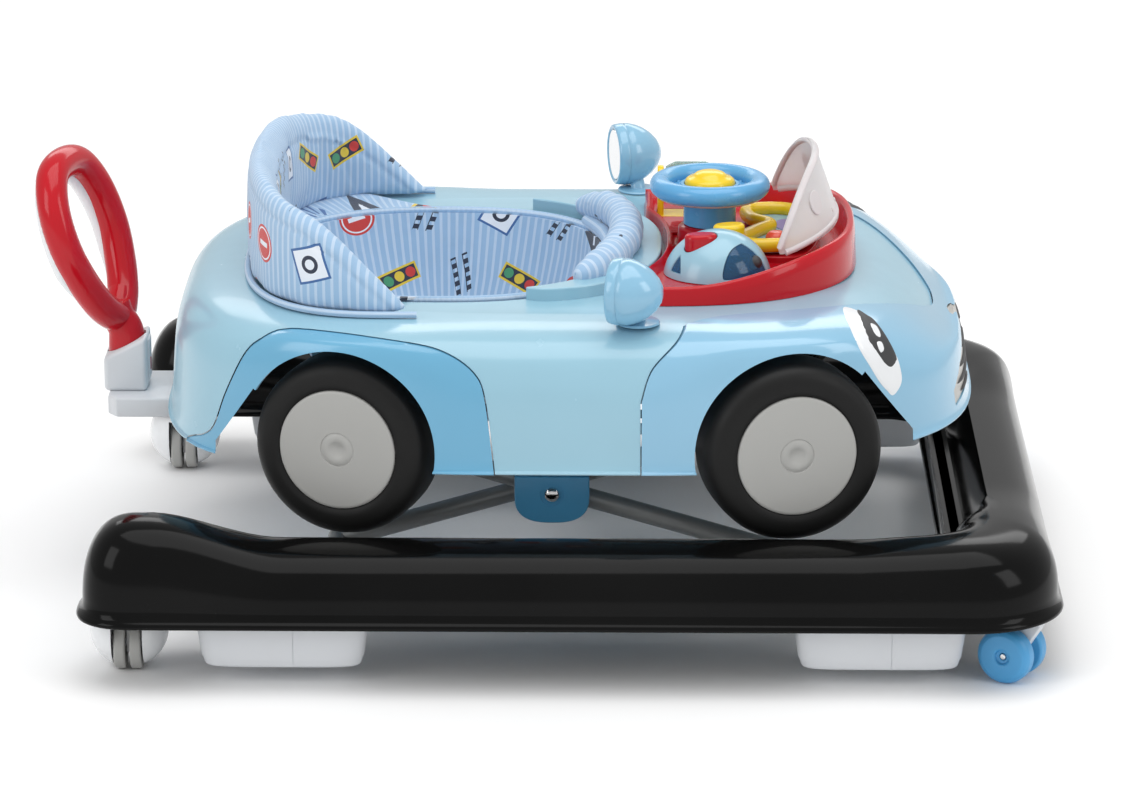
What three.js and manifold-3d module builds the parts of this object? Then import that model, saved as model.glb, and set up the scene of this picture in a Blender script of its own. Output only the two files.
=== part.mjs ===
// Car-shaped baby walker on a folding crossed-leg frame.
// Millimetres, +X towards the nose, +Y to the left side, +Z up, floor at Z = 0.
import * as THREE from 'three';
import { mergeVertices } from 'three/addons/utils/BufferGeometryUtils.js';
import Module from 'manifold-3d';

const wasm = await Module();
wasm.setup();

// ---- driving dimensions -------------------------------------------------
const GAP = 0.35;                    // running gap between separate pieces
const SIDES = [[-1, 'right'], [1, 'left']];

const BASE_BACK = -343;              // rear end of the floor base
const BASE_FRONT = 396;              // front edge of the floor base
const BASE_HALF_WIDTH = 320;
const BEAM_WIDTH = 96;               // side beam, rim to rim
const FRONT_BEAM_WIDTH = 87;
const RIM_Z = 50;                    // underside of the base rim
const BEAM_TOP_Z = 104;
const BASE_WALL = 4;
const PAD_Y = 280;                   // centre of the grip-pad holders

const TUBE_R = 7.5;                  // folding legs
const PIN_X = -155;                  // fixed pins of both legs, one above the other
const CROSS_X = 11;                  // rivet at the crossing
const SLIDE_X = 2 * CROSS_X - PIN_X; // sliding ends of both legs
const LOW_Z = 64;                    // lower pins
const CROSS_Z = 112;
const HIGH_Z = 160;                  // upper pins
const INNER_LEG_Y = 143;
const OUTER_LEG_Y = 160;
const PIN_TRAVEL = 112;              // run of the sliding ends when raised

const BODY_MID_X = 22;               // centre of the car body in plan
const BODY_HALF_LENGTH = 312;
const BODY_HALF_WIDTH = 254;
const SKIN = 3.5;                    // shell thickness
const BODY_STATIONS = 34;            // sections round the body shell
const DECK_Z = 254;
const OPENING_X = -78;               // seat opening
const OPENING_HALF_LENGTH = 143;
const OPENING_HALF_WIDTH = 144;

const WHEEL_Z = 163;                 // big road wheels
const WHEEL_R = 68.5;
const HUBCAP_R = 46;
const WHEEL_DEPTH = 52;
const ARCH_R = 77;
const WHEELS = [
  {
    name: 'rear', x: -149.5, y: 231, toe: 0.3, plateY: 173,
    mouthX: -244, mouth: [[-244, 156], [-213, 204]],
  },
  {
    name: 'front', x: 195.5, y: 242, toe: -0.239, plateY: 184,
    mouthX: 285, mouth: [[284, 169], [246, 221]],
  },
];

const TRAY_FRONT_X = 247;            // toy tray in front of the seat
const TRAY_BACK_X = 100;
const TRAY_HALF_WIDTH = 154;
const TRAY_FLOOR_Z = 262;

// ---- finishes -----------------------------------------------------------
function look(color, roughness, metalness = 0, opacity = 1) {
  return { color, roughness, metalness, opacity, transparent: opacity < 1 };
}
const BLACK_GLOSS = look(0x0b0b0c, 0.12);
const BLACK_MATT = look(0x161616, 0.55);
const PALE_BLUE = look(0xa3d0e2, 0.3);
const LIGHT_BLUE = look(0x86bfe0, 0.22);
const MID_BLUE = look(0x62aedb, 0.3);
const CASTER_BLUE = look(0x3f93c6, 0.35);
const BRACKET_BLUE = look(0x2a6d9c, 0.4);
const WHITE = look(0xe6e8ea, 0.35);
const GREY_PLASTIC = look(0x9a9a98, 0.4);
const TUBE_GREY = look(0x8b8b89, 0.45, 0.3);
const CHROME = look(0xd0d0d0, 0.12, 1);
const SILVER = look(0xa6a6a2, 0.35, 0.4);
const RED = look(0xb3101c, 0.18);
const YELLOW = look(0xf1c40e, 0.35);
const FABRIC = look(0xa9c9e8, 0.9);
const CLEAR_BLUE = look(0x1e5f8a, 0.08, 0, 0.6);
const CLEAR_TEAL = look(0x8fd3cc, 0.1, 0, 0.7);
const FROSTED = look(0xefe3e6, 0.25, 0, 0.5);
const MIRROR = look(0xe9edf0, 0.04, 1);

// ---- helpers ------------------------------------------------------------
const group = new THREE.Group();

function add(name, shape, finish) {
  const geometry = shape.isBufferGeometry ? shape : toGeometry(shape);
  const mesh = new THREE.Mesh(geometry, new THREE.MeshStandardMaterial(finish));
  mesh.name = name;
  group.add(mesh);
  return mesh;
}

function toSolid(geometry) {
  const bare = geometry.clone();
  bare.deleteAttribute('normal');
  bare.deleteAttribute('uv');
  const welded = mergeVertices(bare, 1e-4);
  return new wasm.Manifold(new wasm.Mesh({
    numProp: 3,
    vertProperties: new Float32Array(welded.attributes.position.array),
    triVerts: new Uint32Array(welded.index.array),
  }));
}

function toGeometry(solid) {
  const mesh = solid.getMesh();
  const geometry = new THREE.BufferGeometry();
  geometry.setAttribute('position', new THREE.BufferAttribute(mesh.vertProperties, 3));
  geometry.setIndex(new THREE.BufferAttribute(mesh.triVerts, 1));
  geometry.computeVertexNormals();
  return geometry;
}

function union(...parts) {
  return parts.reduce((whole, part) => whole.add(part));
}

function cut(whole, ...tools) {
  return tools.reduce((left, tool) => left.subtract(tool), whole);
}

function box(x0, x1, y0, y1, z0, z1) {
  const geometry = new THREE.BoxGeometry(x1 - x0, y1 - y0, z1 - z0);
  geometry.translate((x0 + x1) / 2, (y0 + y1) / 2, (z0 + z1) / 2);
  return toSolid(geometry);
}

// Turn a shape made along +Y so that its axis points along `direction`.
function aim(geometry, position, direction) {
  const turn = new THREE.Quaternion();
  turn.setFromUnitVectors(new THREE.Vector3(0, 1, 0), new THREE.Vector3(...direction).normalize());
  geometry.applyQuaternion(turn);
  geometry.translate(...position);
  return geometry;
}

// Profile of [radius, height] pairs turned about an axis.
function turned(profile, position, direction, segments = 18) {
  const points = profile.map(([r, h]) => new THREE.Vector2(r, h));
  const geometry = aim(new THREE.LatheGeometry(points, segments), position, direction);
  return orient(geometry.attributes.position.array, geometry.index.array);
}

function rod(from, to, radius, segments = 8) {
  const a = new THREE.Vector3(...from);
  const b = new THREE.Vector3(...to);
  const geometry = new THREE.CylinderGeometry(radius, radius, a.distanceTo(b), segments);
  const middle = a.clone().add(b).multiplyScalar(0.5);
  return toSolid(aim(geometry, middle.toArray(), b.clone().sub(a).toArray()));
}

function ball(x, y, z, rx, ry = rx, rz = rx, segments = 18) {
  const geometry = new THREE.SphereGeometry(1, segments, Math.round(segments * 0.6));
  geometry.scale(rx, ry, rz);
  geometry.translate(x, y, z);
  return toSolid(geometry);
}

// Bent round bar through a list of points.
function bar(points, radius, steps, segments = 10) {
  const path = new THREE.CatmullRomCurve3(points.map((p) => new THREE.Vector3(...p)), false, 'centripetal');
  const section = new THREE.Shape();
  section.absarc(0, 0, radius, 0, 2 * Math.PI);
  const options = { steps, extrudePath: path, curveSegments: segments, bevelEnabled: false };
  return toSolid(new THREE.ExtrudeGeometry(section, options));
}

function flatShape(points) {
  return new THREE.Shape(points.map(([u, v]) => new THREE.Vector2(u, v)));
}

// Plan outline [x, y] raised from z0 to z1.
function upright(points, z0, z1) {
  const geometry = new THREE.ExtrudeGeometry(flatShape(points), { depth: z1 - z0, bevelEnabled: false });
  geometry.translate(0, 0, z0);
  return toSolid(geometry);
}

// Side outline [x, z] spread from y0 to y1.
function sideways(points, y0, y1) {
  const geometry = new THREE.ExtrudeGeometry(flatShape(points), { depth: y1 - y0, bevelEnabled: false });
  geometry.rotateX(Math.PI / 2);
  geometry.translate(0, y1, 0);
  return toSolid(geometry);
}

// Front outline [y, z] spread from x0 to x1.
function lengthways(points, x0, x1) {
  const geometry = new THREE.ExtrudeGeometry(flatShape(points), { depth: x1 - x0, bevelEnabled: false });
  geometry.rotateZ(Math.PI / 2);
  geometry.rotateY(Math.PI / 2);
  geometry.translate(x0, 0, 0);
  return toSolid(geometry);
}

// Move every corner of an outline outwards by `grow` (anticlockwise outline).
function grown(points, grow) {
  return points.map((point, i) => {
    const before = points[(i + points.length - 1) % points.length];
    const after = points[(i + 1) % points.length];
    const inward = new THREE.Vector2(point[0] - before[0], point[1] - before[1]).normalize();
    const onward = new THREE.Vector2(after[0] - point[0], after[1] - point[1]).normalize();
    const normal = new THREE.Vector2(inward.y + onward.y, -inward.x - onward.x).normalize();
    const reach = grow / Math.max(0.3, normal.x * onward.y - normal.y * onward.x);
    return [point[0] + normal.x * reach, point[1] + normal.y * reach];
  });
}

// Closed skin through rings of points. Each ring is a closed section, less the
// edge that starts at point `open`, where two sections back onto each other.
function ringSkin(rings, open = -1) {
  const count = rings[0].length;
  const position = rings.flat().flat();
  const index = [];
  for (let i = 0; i < rings.length; i += 1) {
    const next = (i + 1) % rings.length;
    for (let k = 0; k < count; k += 1) {
      const up = (k + 1) % count;
      if (k === open) continue;
      index.push(i * count + k, next * count + k, next * count + up);
      index.push(i * count + k, next * count + up, i * count + up);
    }
  }
  return orient(position, index);
}

// Weld the skin, drop empty triangles and face it outwards.
function orient(position, index) {
  const geometry = new THREE.BufferGeometry();
  geometry.setAttribute('position', new THREE.Float32BufferAttribute(position, 3));
  geometry.setIndex([...index]);
  const welded = mergeVertices(geometry, 1e-3);
  const kept = [];
  const old = welded.index.array;
  for (let i = 0; i < old.length; i += 3) {
    const [a, b, c] = [old[i], old[i + 1], old[i + 2]];
    if (a !== b && b !== c && c !== a) kept.push(a, b, c);
  }
  const at = (n) => new THREE.Vector3().fromBufferAttribute(welded.attributes.position, n);
  let volume = 0;
  for (let i = 0; i < kept.length; i += 3) {
    volume += at(kept[i]).dot(at(kept[i + 1]).cross(at(kept[i + 2])));
  }
  if (volume < 0) {
    for (let i = 0; i < kept.length; i += 3) [kept[i], kept[i + 1]] = [kept[i + 1], kept[i]];
  }
  welded.setIndex(kept);
  return toSolid(welded);
}

function smooth(low, high, value) {
  const t = Math.min(1, Math.max(0, (value - low) / (high - low)));
  return t * t * (3 - 2 * t);
}

function mix(a, b, t) {
  return a + (b - a) * t;
}

function power(value, exponent) {
  return Math.sign(value) * Math.abs(value) ** exponent;
}

// ---- floor base: one hollow U-shaped beam, open at the back ---------------
function baseStations() {
  const half = BEAM_WIDTH / 2;
  const ridgeY = BASE_HALF_WIDTH - half;
  const ridgeX = BASE_FRONT - FRONT_BEAM_WIDTH / 2;
  const endX = BASE_BACK + half;
  const innerY = BASE_HALF_WIDTH - BEAM_WIDTH;
  const innerX = BASE_FRONT - FRONT_BEAM_WIDTH;
  const outside = [];
  const inside = [];
  const straight = [-262, -236, -212, -190, -60, 90, 250];
  for (const x of straight) {
    outside.push({ edge: [x, -BASE_HALF_WIDTH], ridge: [x, -ridgeY] });
    inside.push({ edge: [x, -innerY], ridge: [x, -ridgeY] });
  }
  for (let i = 0; i <= 5; i += 1) {
    const a = -Math.PI / 2 + (Math.PI / 2) * (i / 5);
    const [c, s] = [Math.cos(a), Math.sin(a)];
    const ridge = [ridgeX - 55 + 55 * c, -ridgeY + 55 + 55 * s];
    outside.push({ edge: [BASE_FRONT - 70 + 70 * c, -BASE_HALF_WIDTH + 70 + 70 * s], ridge });
    inside.push({ edge: [innerX - 24 + 24 * c, -innerY + 24 + 24 * s], ridge });
  }
  for (const y of [-184, -160, -110, -40]) {
    outside.push({ edge: [BASE_FRONT, y], ridge: [ridgeX, y] });
    inside.push({ edge: [innerX, y], ridge: [ridgeX, y], pocket: 1 - smooth(150, 190, -y) });
  }
  const flip = ({ edge, ridge, pocket }) => ({
    edge: [edge[0], -edge[1]], ridge: [ridge[0], -ridge[1]], pocket,
  });
  const end = [];
  for (let i = 0; i <= 5; i += 1) {
    const a = Math.PI / 2 + Math.PI * (i / 5);
    const edge = [endX + half * power(Math.cos(a), 0.8), -ridgeY + half * power(Math.sin(a), 0.8)];
    end.push({ edge, ridge: [endX, -ridgeY] });
  }
  const right = [...end, ...outside];
  return [
    ...right, ...right.map(flip).reverse(),
    ...inside.map(flip), ...[...inside].reverse(),
  ];
}

function baseTop([x, y]) {
  const rear = 20 * (1 - smooth(-290, -190, x));
  const corner = 5 * smooth(230, 330, x) * smooth(120, 240, Math.abs(y));
  return BEAM_TOP_Z + rear + corner;
}

// Section from the rim up to the ridge and back down inside the wall.
function baseSection({ edge, ridge, pocket = 0 }) {
  const reach = Math.hypot(edge[0] - ridge[0], edge[1] - ridge[1]);
  const top = baseTop(ridge);
  const place = (distance, z) => {
    const t = distance / reach;
    return [mix(ridge[0], edge[0], t), mix(ridge[1], edge[1], t), z];
  };
  const dome = (width, height, angles) => angles.map((a) => {
    const angle = a * Math.PI / 2;
    const distance = width * Math.cos(angle) ** 0.77;
    const rise = height * Math.sin(angle) ** 0.77;
    const hollow = pocket * smooth(0.25, 0.62, distance / width);
    return place(distance, RIM_Z + 8 + mix(rise, Math.min(rise, 8), hollow));
  });
  const outer = dome(reach - 5, top - RIM_Z - 8, [0, 0.2, 0.38, 0.55, 0.75, 1]);
  const inner = dome(reach - 5 - BASE_WALL, top - RIM_Z - 8 - BASE_WALL, [1, 0.55, 0.38, 0.2, 0]);
  return [
    place(reach - 5 - BASE_WALL, RIM_Z), place(reach - 1, RIM_Z), place(reach, RIM_Z + 3), ...outer,
    ...inner,
  ];
}

function baseFrame() {
  const sections = baseStations().map(baseSection);
  const shell = ringSkin(sections, 8);
  const tools = [];
  for (const [side] of SIDES) {
    const [near, far] = side < 0 ? [-238, -220] : [220, 238];
    tools.push(rod([PIN_X, near, LOW_Z], [PIN_X, far, LOW_Z], TUBE_R + GAP, 12));
    const r = TUBE_R + 1;
    const slot = [];
    for (const [x, start] of [[SLIDE_X, -90], [SLIDE_X - PIN_TRAVEL, 90]]) {
      for (let i = 0; i <= 6; i += 1) {
        const a = THREE.MathUtils.degToRad(start + 180 * (i / 6));
        slot.push([x + r * Math.cos(a), LOW_Z + r * Math.sin(a)]);
      }
    }
    tools.push(sideways(slot, near, far));
  }
  return cut(shell, ...tools);
}
add('base_frame', baseFrame(), BLACK_GLOSS);

// ---- grip-pad holders under the side beams ------------------------------
function padHolder(x, y) {
  const levels = [[14, 58, 19], [18, 65, 23], [78, 69, 26]];
  const rings = levels.map(([z, a, b]) => {
    const ring = [];
    for (let i = 0; i < 16; i += 1) {
      const t = ((i + 0.5) / 16) * 2 * Math.PI;
      ring.push([x + a * power(Math.cos(t), 0.4), y + b * power(Math.sin(t), 0.4), z]);
    }
    return ring;
  });
  return capped(rings);
}

// Skin through open-ended sections, closed at both ends by a fan of triangles.
function fanned(rings) {
  const count = rings[0].length;
  const position = rings.flat().flat();
  const index = [];
  for (let i = 0; i + 1 < rings.length; i += 1) {
    for (let k = 0; k < count; k += 1) {
      const up = (k + 1) % count;
      index.push(i * count + k, (i + 1) * count + k, (i + 1) * count + up);
      index.push(i * count + k, (i + 1) * count + up, i * count + up);
    }
  }
  const last = (rings.length - 1) * count;
  for (let k = 1; k + 1 < count; k += 1) {
    index.push(0, k, k + 1);
    index.push(last, last + k + 1, last + k);
  }
  return orient(position, index);
}

// Skin through level rings with flat caps on the first and last.
function capped(rings) {
  const count = rings[0].length;
  const position = rings.flat().flat();
  const index = [];
  for (let i = 0; i + 1 < rings.length; i += 1) {
    for (let k = 0; k < count; k += 1) {
      const up = (k + 1) % count;
      index.push(i * count + k, i * count + up, (i + 1) * count + up);
      index.push(i * count + k, (i + 1) * count + up, (i + 1) * count + k);
    }
  }
  for (const [ring, turn] of [[0, -1], [rings.length - 1, 1]]) {
    const middle = position.length / 3;
    const centre = [0, 1, 2].map((axis) => (
      rings[ring].reduce((sum, point) => sum + point[axis], 0) / count));
    position.push(...centre);
    for (let k = 0; k < count; k += 1) {
      const [a, b] = [ring * count + k, ring * count + ((k + 1) % count)];
      index.push(middle, turn > 0 ? a : b, turn > 0 ? b : a);
    }
  }
  return orient(position, index);
}

for (const [side, hand] of SIDES) {
  add(`pad_holder_rear_${hand}`, padHolder(-188, side * PAD_Y), WHITE);
  add(`pad_holder_front_${hand}`, padHolder(257, side * PAD_Y), WHITE);
}

// ---- rear casters: round hood with twin wheels ---------------------------
const REAR_CASTER = { x: -306, y: 252, z: 29.7, r: 29.7, wheelR: 20, wheelY: -6 };

function rearHood(x, y) {
  const { z, r } = REAR_CASTER;
  const top = RIM_Z - GAP - z;
  const profile = [[0, top]];
  const start = Math.asin(top / r);
  for (let i = 0; i <= 5; i += 1) {
    const a = mix(start, -1.08, i / 5);
    profile.push([r * Math.cos(a), r * Math.sin(a)]);
  }
  for (let i = 0; i <= 3; i += 1) {
    const a = mix(-1.08, 0.62, i / 3);
    profile.push([(r - 2.5) * Math.cos(a), (r - 2.5) * Math.sin(a)]);
  }
  profile.push([0, (r - 2.5) * Math.sin(0.62)]);
  const hood = turned(profile.reverse(), [x, y, z], [0, 0, 1], 16);
  const window = box(x - 11.8, x + 11.8, y - 34, y - 9, -4, 44);
  const throat = box(x - 11.8, x + 11.8, y - 30, y + 18, -4, 12);
  const web = box(x - 1.3, x + 1.3, y - 12, y + 6, 16, 47);
  const stem = rod([x, y, 48], [x, y, 88], 7, 10);
  const axleY = y + REAR_CASTER.wheelY;
  const axle = rod([x - 10.6, axleY, 20], [x + 10.6, axleY, 20], 3, 10);
  return union(cut(hood, window, throat), web, stem, axle);
}

function smallWheel(outer, bore, width, position, direction, segments = 18) {
  const h = width / 2;
  const profile = [
    [bore, -h], [outer, -h], [outer, h], [bore, h], [bore, -h],
  ];
  return turned(profile, position, direction, segments);
}

for (const [side, hand] of SIDES) {
  const { x, y, wheelR, wheelY } = REAR_CASTER;
  add(`rear_caster_hood_${hand}`, rearHood(x, side * y), WHITE);
  for (const [offset, name] of [[-6, 'inner'], [6, 'outer']]) {
    const centre = [x + offset, side * y + wheelY, wheelR];
    add(`rear_caster_wheel_${name}_${hand}`, smallWheel(wheelR, 3.15, 8.6, centre, [1, 0, 0]), GREY_PLASTIC);
  }
}

// ---- front casters: fork, steel axle, twin blue wheels --------------------
const FRONT_CASTER = { x: 370, y: 279, r: 21.3, trail: 15, turn: -28 };

function frontCaster(side, hand) {
  const { x, y, r, trail, turn } = FRONT_CASTER;
  const a = THREE.MathUtils.degToRad(turn);
  const roll = [Math.cos(a), Math.sin(a), 0];
  const across = [-Math.sin(a), Math.cos(a), 0];
  const at = (along, aside, z) => [
    x + roll[0] * along + across[0] * aside, side * y + roll[1] * along + across[1] * aside, z,
  ];
  const blade = (shape) => {
    const solid = sideways(shape, -5.5, 5.5);
    return solid.rotate([0, 0, turn]).translate([x, side * y, 0]);
  };
  const outline = [];
  for (let i = 0; i <= 8; i += 1) {
    const t = THREE.MathUtils.degToRad(150 + 200 * (i / 8));
    outline.push([-trail + 9 * Math.cos(t), r + 9 * Math.sin(t)]);
  }
  outline.push([9, 44], [9, RIM_Z - GAP], [-13, RIM_Z - GAP], [-20, 44]);
  const stem = rod([x, side * y, 48], [x, side * y, 78], 6, 10);
  const bore = rod(at(-trail, -8, r), at(-trail, 8, r), 2.65, 10);
  add(`front_caster_fork_${hand}`, cut(union(blade(outline), stem), bore), WHITE);
  const pin = rod(at(-trail, -17.5, r), at(-trail, 17.5, r), 2.5, 10);
  add(`front_caster_axle_${hand}`, pin, CHROME);
  for (const [offset, name] of [[-13, 'outer'], [13, 'inner']]) {
    const h = 7;
    const out = Math.sign(offset);
    const profile = [
      [2.85, -h], [r, -h + 1], [r, h - 4], [r - 4, h], [5.2, h], [5.2, h - 3], [2.85, h - 3], [2.85, -h],
    ];
    const direction = across.map((value) => value * out);
    const wheel = turned(profile, at(-trail, offset, r), direction, 16);
    add(`front_caster_wheel_${name}_${hand}`, wheel, CASTER_BLUE);
  }
}
for (const [side, hand] of SIDES) frontCaster(side, hand);

// ---- folding legs -------------------------------------------------------
// Rivet hole through the crossing, running clear of the 3 mm shank.
const crossBore = (y0, y1) => rod([CROSS_X, y0, CROSS_Z], [CROSS_X, y1, CROSS_Z], 3.3);

// Inner leg: fixed pins low at the back, cross bar high at the front.
function innerLeg() {
  const sides = SIDES.map(([side]) => {
    const y = side * INNER_LEG_Y;
    const tube = rod([PIN_X, y, LOW_Z], [SLIDE_X, y, HIGH_Z], TUBE_R);
    const stub = rod([PIN_X, side * (INNER_LEG_Y - 6), LOW_Z], [PIN_X, side * 246, LOW_Z], TUBE_R);
    const eye = rod([CROSS_X, side * 137, CROSS_Z], [CROSS_X, side * 149.5, CROSS_Z], 9);
    return union(tube, stub, eye, ball(PIN_X, y, LOW_Z, TUBE_R, TUBE_R, TUBE_R, 8));
  });
  const cross = rod([SLIDE_X, -INNER_LEG_Y - 6, HIGH_Z], [SLIDE_X, INNER_LEG_Y + 6, HIGH_Z], TUBE_R);
  const bores = SIDES.map(([side]) => crossBore(side * 130, side * 152));
  return cut(union(...sides, cross), ...bores);
}
add('leg_inner', innerLeg(), TUBE_GREY);

// Outer leg: cross bar low at the front sliding in the base, pins high at the back.
function outerLeg() {
  const sides = SIDES.map(([side]) => {
    const y = side * OUTER_LEG_Y;
    const tube = rod([SLIDE_X, y, LOW_Z], [PIN_X, y, HIGH_Z], TUBE_R);
    const pin = rod([PIN_X, side * (OUTER_LEG_Y + 6), HIGH_Z], [PIN_X, side * 144.6, HIGH_Z], 5);
    const end = ball(PIN_X, y, HIGH_Z, TUBE_R, TUBE_R, TUBE_R, 8);
    const eye = rod([CROSS_X, side * 153, CROSS_Z], [CROSS_X, side * 168, CROSS_Z], 9);
    return union(tube, pin, end, eye);
  });
  const cross = rod([SLIDE_X, -246, LOW_Z], [SLIDE_X, 246, LOW_Z], TUBE_R);
  const bores = SIDES.map(([side]) => crossBore(side * 150, side * 170));
  return cut(union(...sides, cross), ...bores);
}
add('leg_outer', outerLeg(), TUBE_GREY);

// Blue clip riveted over each crossing.
function pivotClip(side) {
  const outline = [[-28.5, 14]];
  for (let i = 0; i <= 10; i += 1) {
    const a = Math.PI + Math.PI * (i / 10);
    outline.push([28.5 * power(Math.cos(a), 0.75), -2 + 21 * power(Math.sin(a), 0.75)]);
  }
  outline.push([28.5, 14]);
  const [low, high] = side < 0 ? [-178, -168.4] : [168.4, 178];
  const plate = sideways(outline.map(([x, z]) => [CROSS_X + x, CROSS_Z + z]), low, high);
  return cut(plate, crossBore(low - 1, high + 1));
}

function rivet(side) {
  const profile = [
    [0, 0], [5.5, 0], [5.5, 1.5], [3, 1.5], [3, 44.7], [5.3, 44.7], [4, 47], [0, 47.9],
  ];
  return turned(profile, [CROSS_X, side * 133.6, CROSS_Z], [0, side, 0], 12);
}
for (const [side, hand] of SIDES) {
  add(`pivot_clip_${hand}`, pivotClip(side), BRACKET_BLUE);
  add(`pivot_rivet_${hand}`, rivet(side), CHROME);
}

// ---- car body -----------------------------------------------------------
function planPoint(t, inset) {
  const x = BODY_MID_X + (BODY_HALF_LENGTH - inset) * power(Math.cos(t), 2 / 3);
  const y = (BODY_HALF_WIDTH - inset) * power(Math.sin(t), 2 / 3);
  return [x, y];
}

function openingPoint(t, grow = 0) {
  const x = OPENING_X + (OPENING_HALF_LENGTH + grow) * power(Math.cos(t), 0.83);
  const y = (OPENING_HALF_WIDTH + grow) * power(Math.sin(t), 0.83);
  return [x, y];
}

function deckHeight(x) {
  return DECK_Z - 0.0056 * Math.max(0, x - 230) ** 2;
}

function shoulderHeight(x) {
  const bumps = WHEELS.map((wheel) => Math.exp(-(((x - wheel.x) / 82) ** 4)));
  const nose = smooth(250, 325, x);
  return 222 + 20 * Math.max(...bumps) * (1 - nose) - 12 * nose;
}

function hemHeight(x) {
  return 152 - 6 * (1 - smooth(-260, -180, x)) + 9 * smooth(180, 290, x);
}

// Closed sections from the hem over the shoulder and deck to the seat opening,
// and back along the inside.
function bodySkin(proud) {
  const rings = [];
  for (let i = 0; i < BODY_STATIONS; i += 1) {
    const t = ((i + 0.5) / BODY_STATIONS) * 2 * Math.PI;
    const [ex] = planPoint(t, 0);
    const hem = hemHeight(ex);
    const shoulder = shoulderHeight(ex);
    const rise = (fraction) => mix(hem, shoulder, fraction);
    const along = (inset, z) => [...planPoint(t, inset - proud), z];
    const deck = (inset, fraction) => {
      const [x, y] = planPoint(t, inset);
      return [...planPoint(t, inset - proud), mix(shoulder, deckHeight(x), fraction) + proud];
    };
    const toOpening = (fraction, drop) => {
      const [ox, oy] = openingPoint(t);
      const [dx, dy] = planPoint(t, 75);
      const [x, y] = [mix(dx, ox, fraction), mix(dy, oy, fraction)];
      return [x, y, deckHeight(x) + proud - drop];
    };
    const outer = [
      along(-2, hem), along(1, hem + 5), along(4.5, rise(0.75)), along(8, shoulder),
      deck(14, 0.45), deck(26, 0.78), deck(46, 0.95), toOpening(0, 0), toOpening(0.15, 0),
      toOpening(1, 0),
    ];
    const [ox, oy] = openingPoint(t);
    const [wx, wy] = openingPoint(t, SKIN);
    const lip = deckHeight(ox) - 12;
    const inner = [
      [ox, oy, lip], [wx, wy, lip], [wx, wy, deckHeight(wx) - SKIN], toOpening(0, SKIN),
      deck(50, 0.93), deck(31, 0.72), along(11.5, shoulder - 4), along(1.5, hem),
    ];
    inner.slice(4, 6).forEach((point) => { point[2] -= SKIN; });
    rings.push([...outer, ...inner]);
  }
  return ringSkin(rings);
}

function planBlock(inset) {
  const points = [];
  for (let i = 0; i < BODY_STATIONS; i += 1) {
    points.push(planPoint(((i + 0.5) / BODY_STATIONS) * 2 * Math.PI, inset));
  }
  return upright(points, 90, 320);
}

function wheelAxis(wheel, side) {
  return new THREE.Vector3(wheel.toe * -1, side * Math.sqrt(1 - wheel.toe ** 2), 0);
}

function wheelPoint(wheel, side, inward, z = WHEEL_Z) {
  const axis = wheelAxis(wheel, side);
  return [wheel.x - axis.x * inward, side * wheel.y - axis.y * inward, z];
}

// Round arch, opened outwards below its shoulder.
function archCutter(wheel, side) {
  const round = rod(wheelPoint(wheel, side, 80), wheelPoint(wheel, side, -50), ARCH_R, 24);
  const [low, high] = side < 0 ? [-320, -145] : [145, 320];
  const mouth = [[wheel.x, 110], [wheel.mouthX, 110], ...wheel.mouth, [wheel.x, WHEEL_Z]];
  const outline = wheel.mouthX < wheel.x ? mouth.reverse() : mouth;
  return round.add(sideways(outline, low, high));
}

const REAR_FENDER = [
  [-270, 130], [-31, 130], [-31, 152], [-38, 208], [-46, 227], [-65, 240], [-91, 246.5], [-139, 249.5],
  [-185, 248.5], [-206, 241], [-220, 227], [-235, 195], [-247, 163], [-264, 150],
];
const FASCIA_SIDE = [
  [79, 120], [420, 120], [420, 330], [125, 330], [120, 262], [107, 249], [87, 230], [79, 207],
];
const HOOD_HALF = [
  [20, 240], [85, 220], [107, 207], [136, 183], [186, 166], [231, 149], [262, 122], [291, 72], [305, 33],
];
const HOOD_PLAN = [
  ...HOOD_HALF.map(([x, y]) => [x, -y]), [308, 0], ...[...HOOD_HALF].reverse(),
];
const GRILLE = [
  [-128, 169], [-80, 173], [0, 176], [80, 173], [128, 169], [128, 181], [100, 195], [60, 206], [0, 211],
  [-60, 206], [-100, 195], [-128, 181],
];

const arches = WHEELS.flatMap((wheel) => SIDES.map(([side]) => archCutter(wheel, side)));
const plainSkin = cut(bodySkin(0), ...arches);
const proudSkin = cut(bodySkin(1), ...arches);

function fenderTool(side, grow, inset) {
  const [low, high] = side < 0 ? [-320, -100] : [100, 320];
  return cut(sideways(grown(REAR_FENDER, grow), low, high), planBlock(inset));
}

function fasciaTool(grow) {
  const block = sideways(grown(FASCIA_SIDE, grow), -320, 320);
  return cut(block, upright(grown(HOOD_PLAN, -grow), 60, 340));
}

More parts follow.
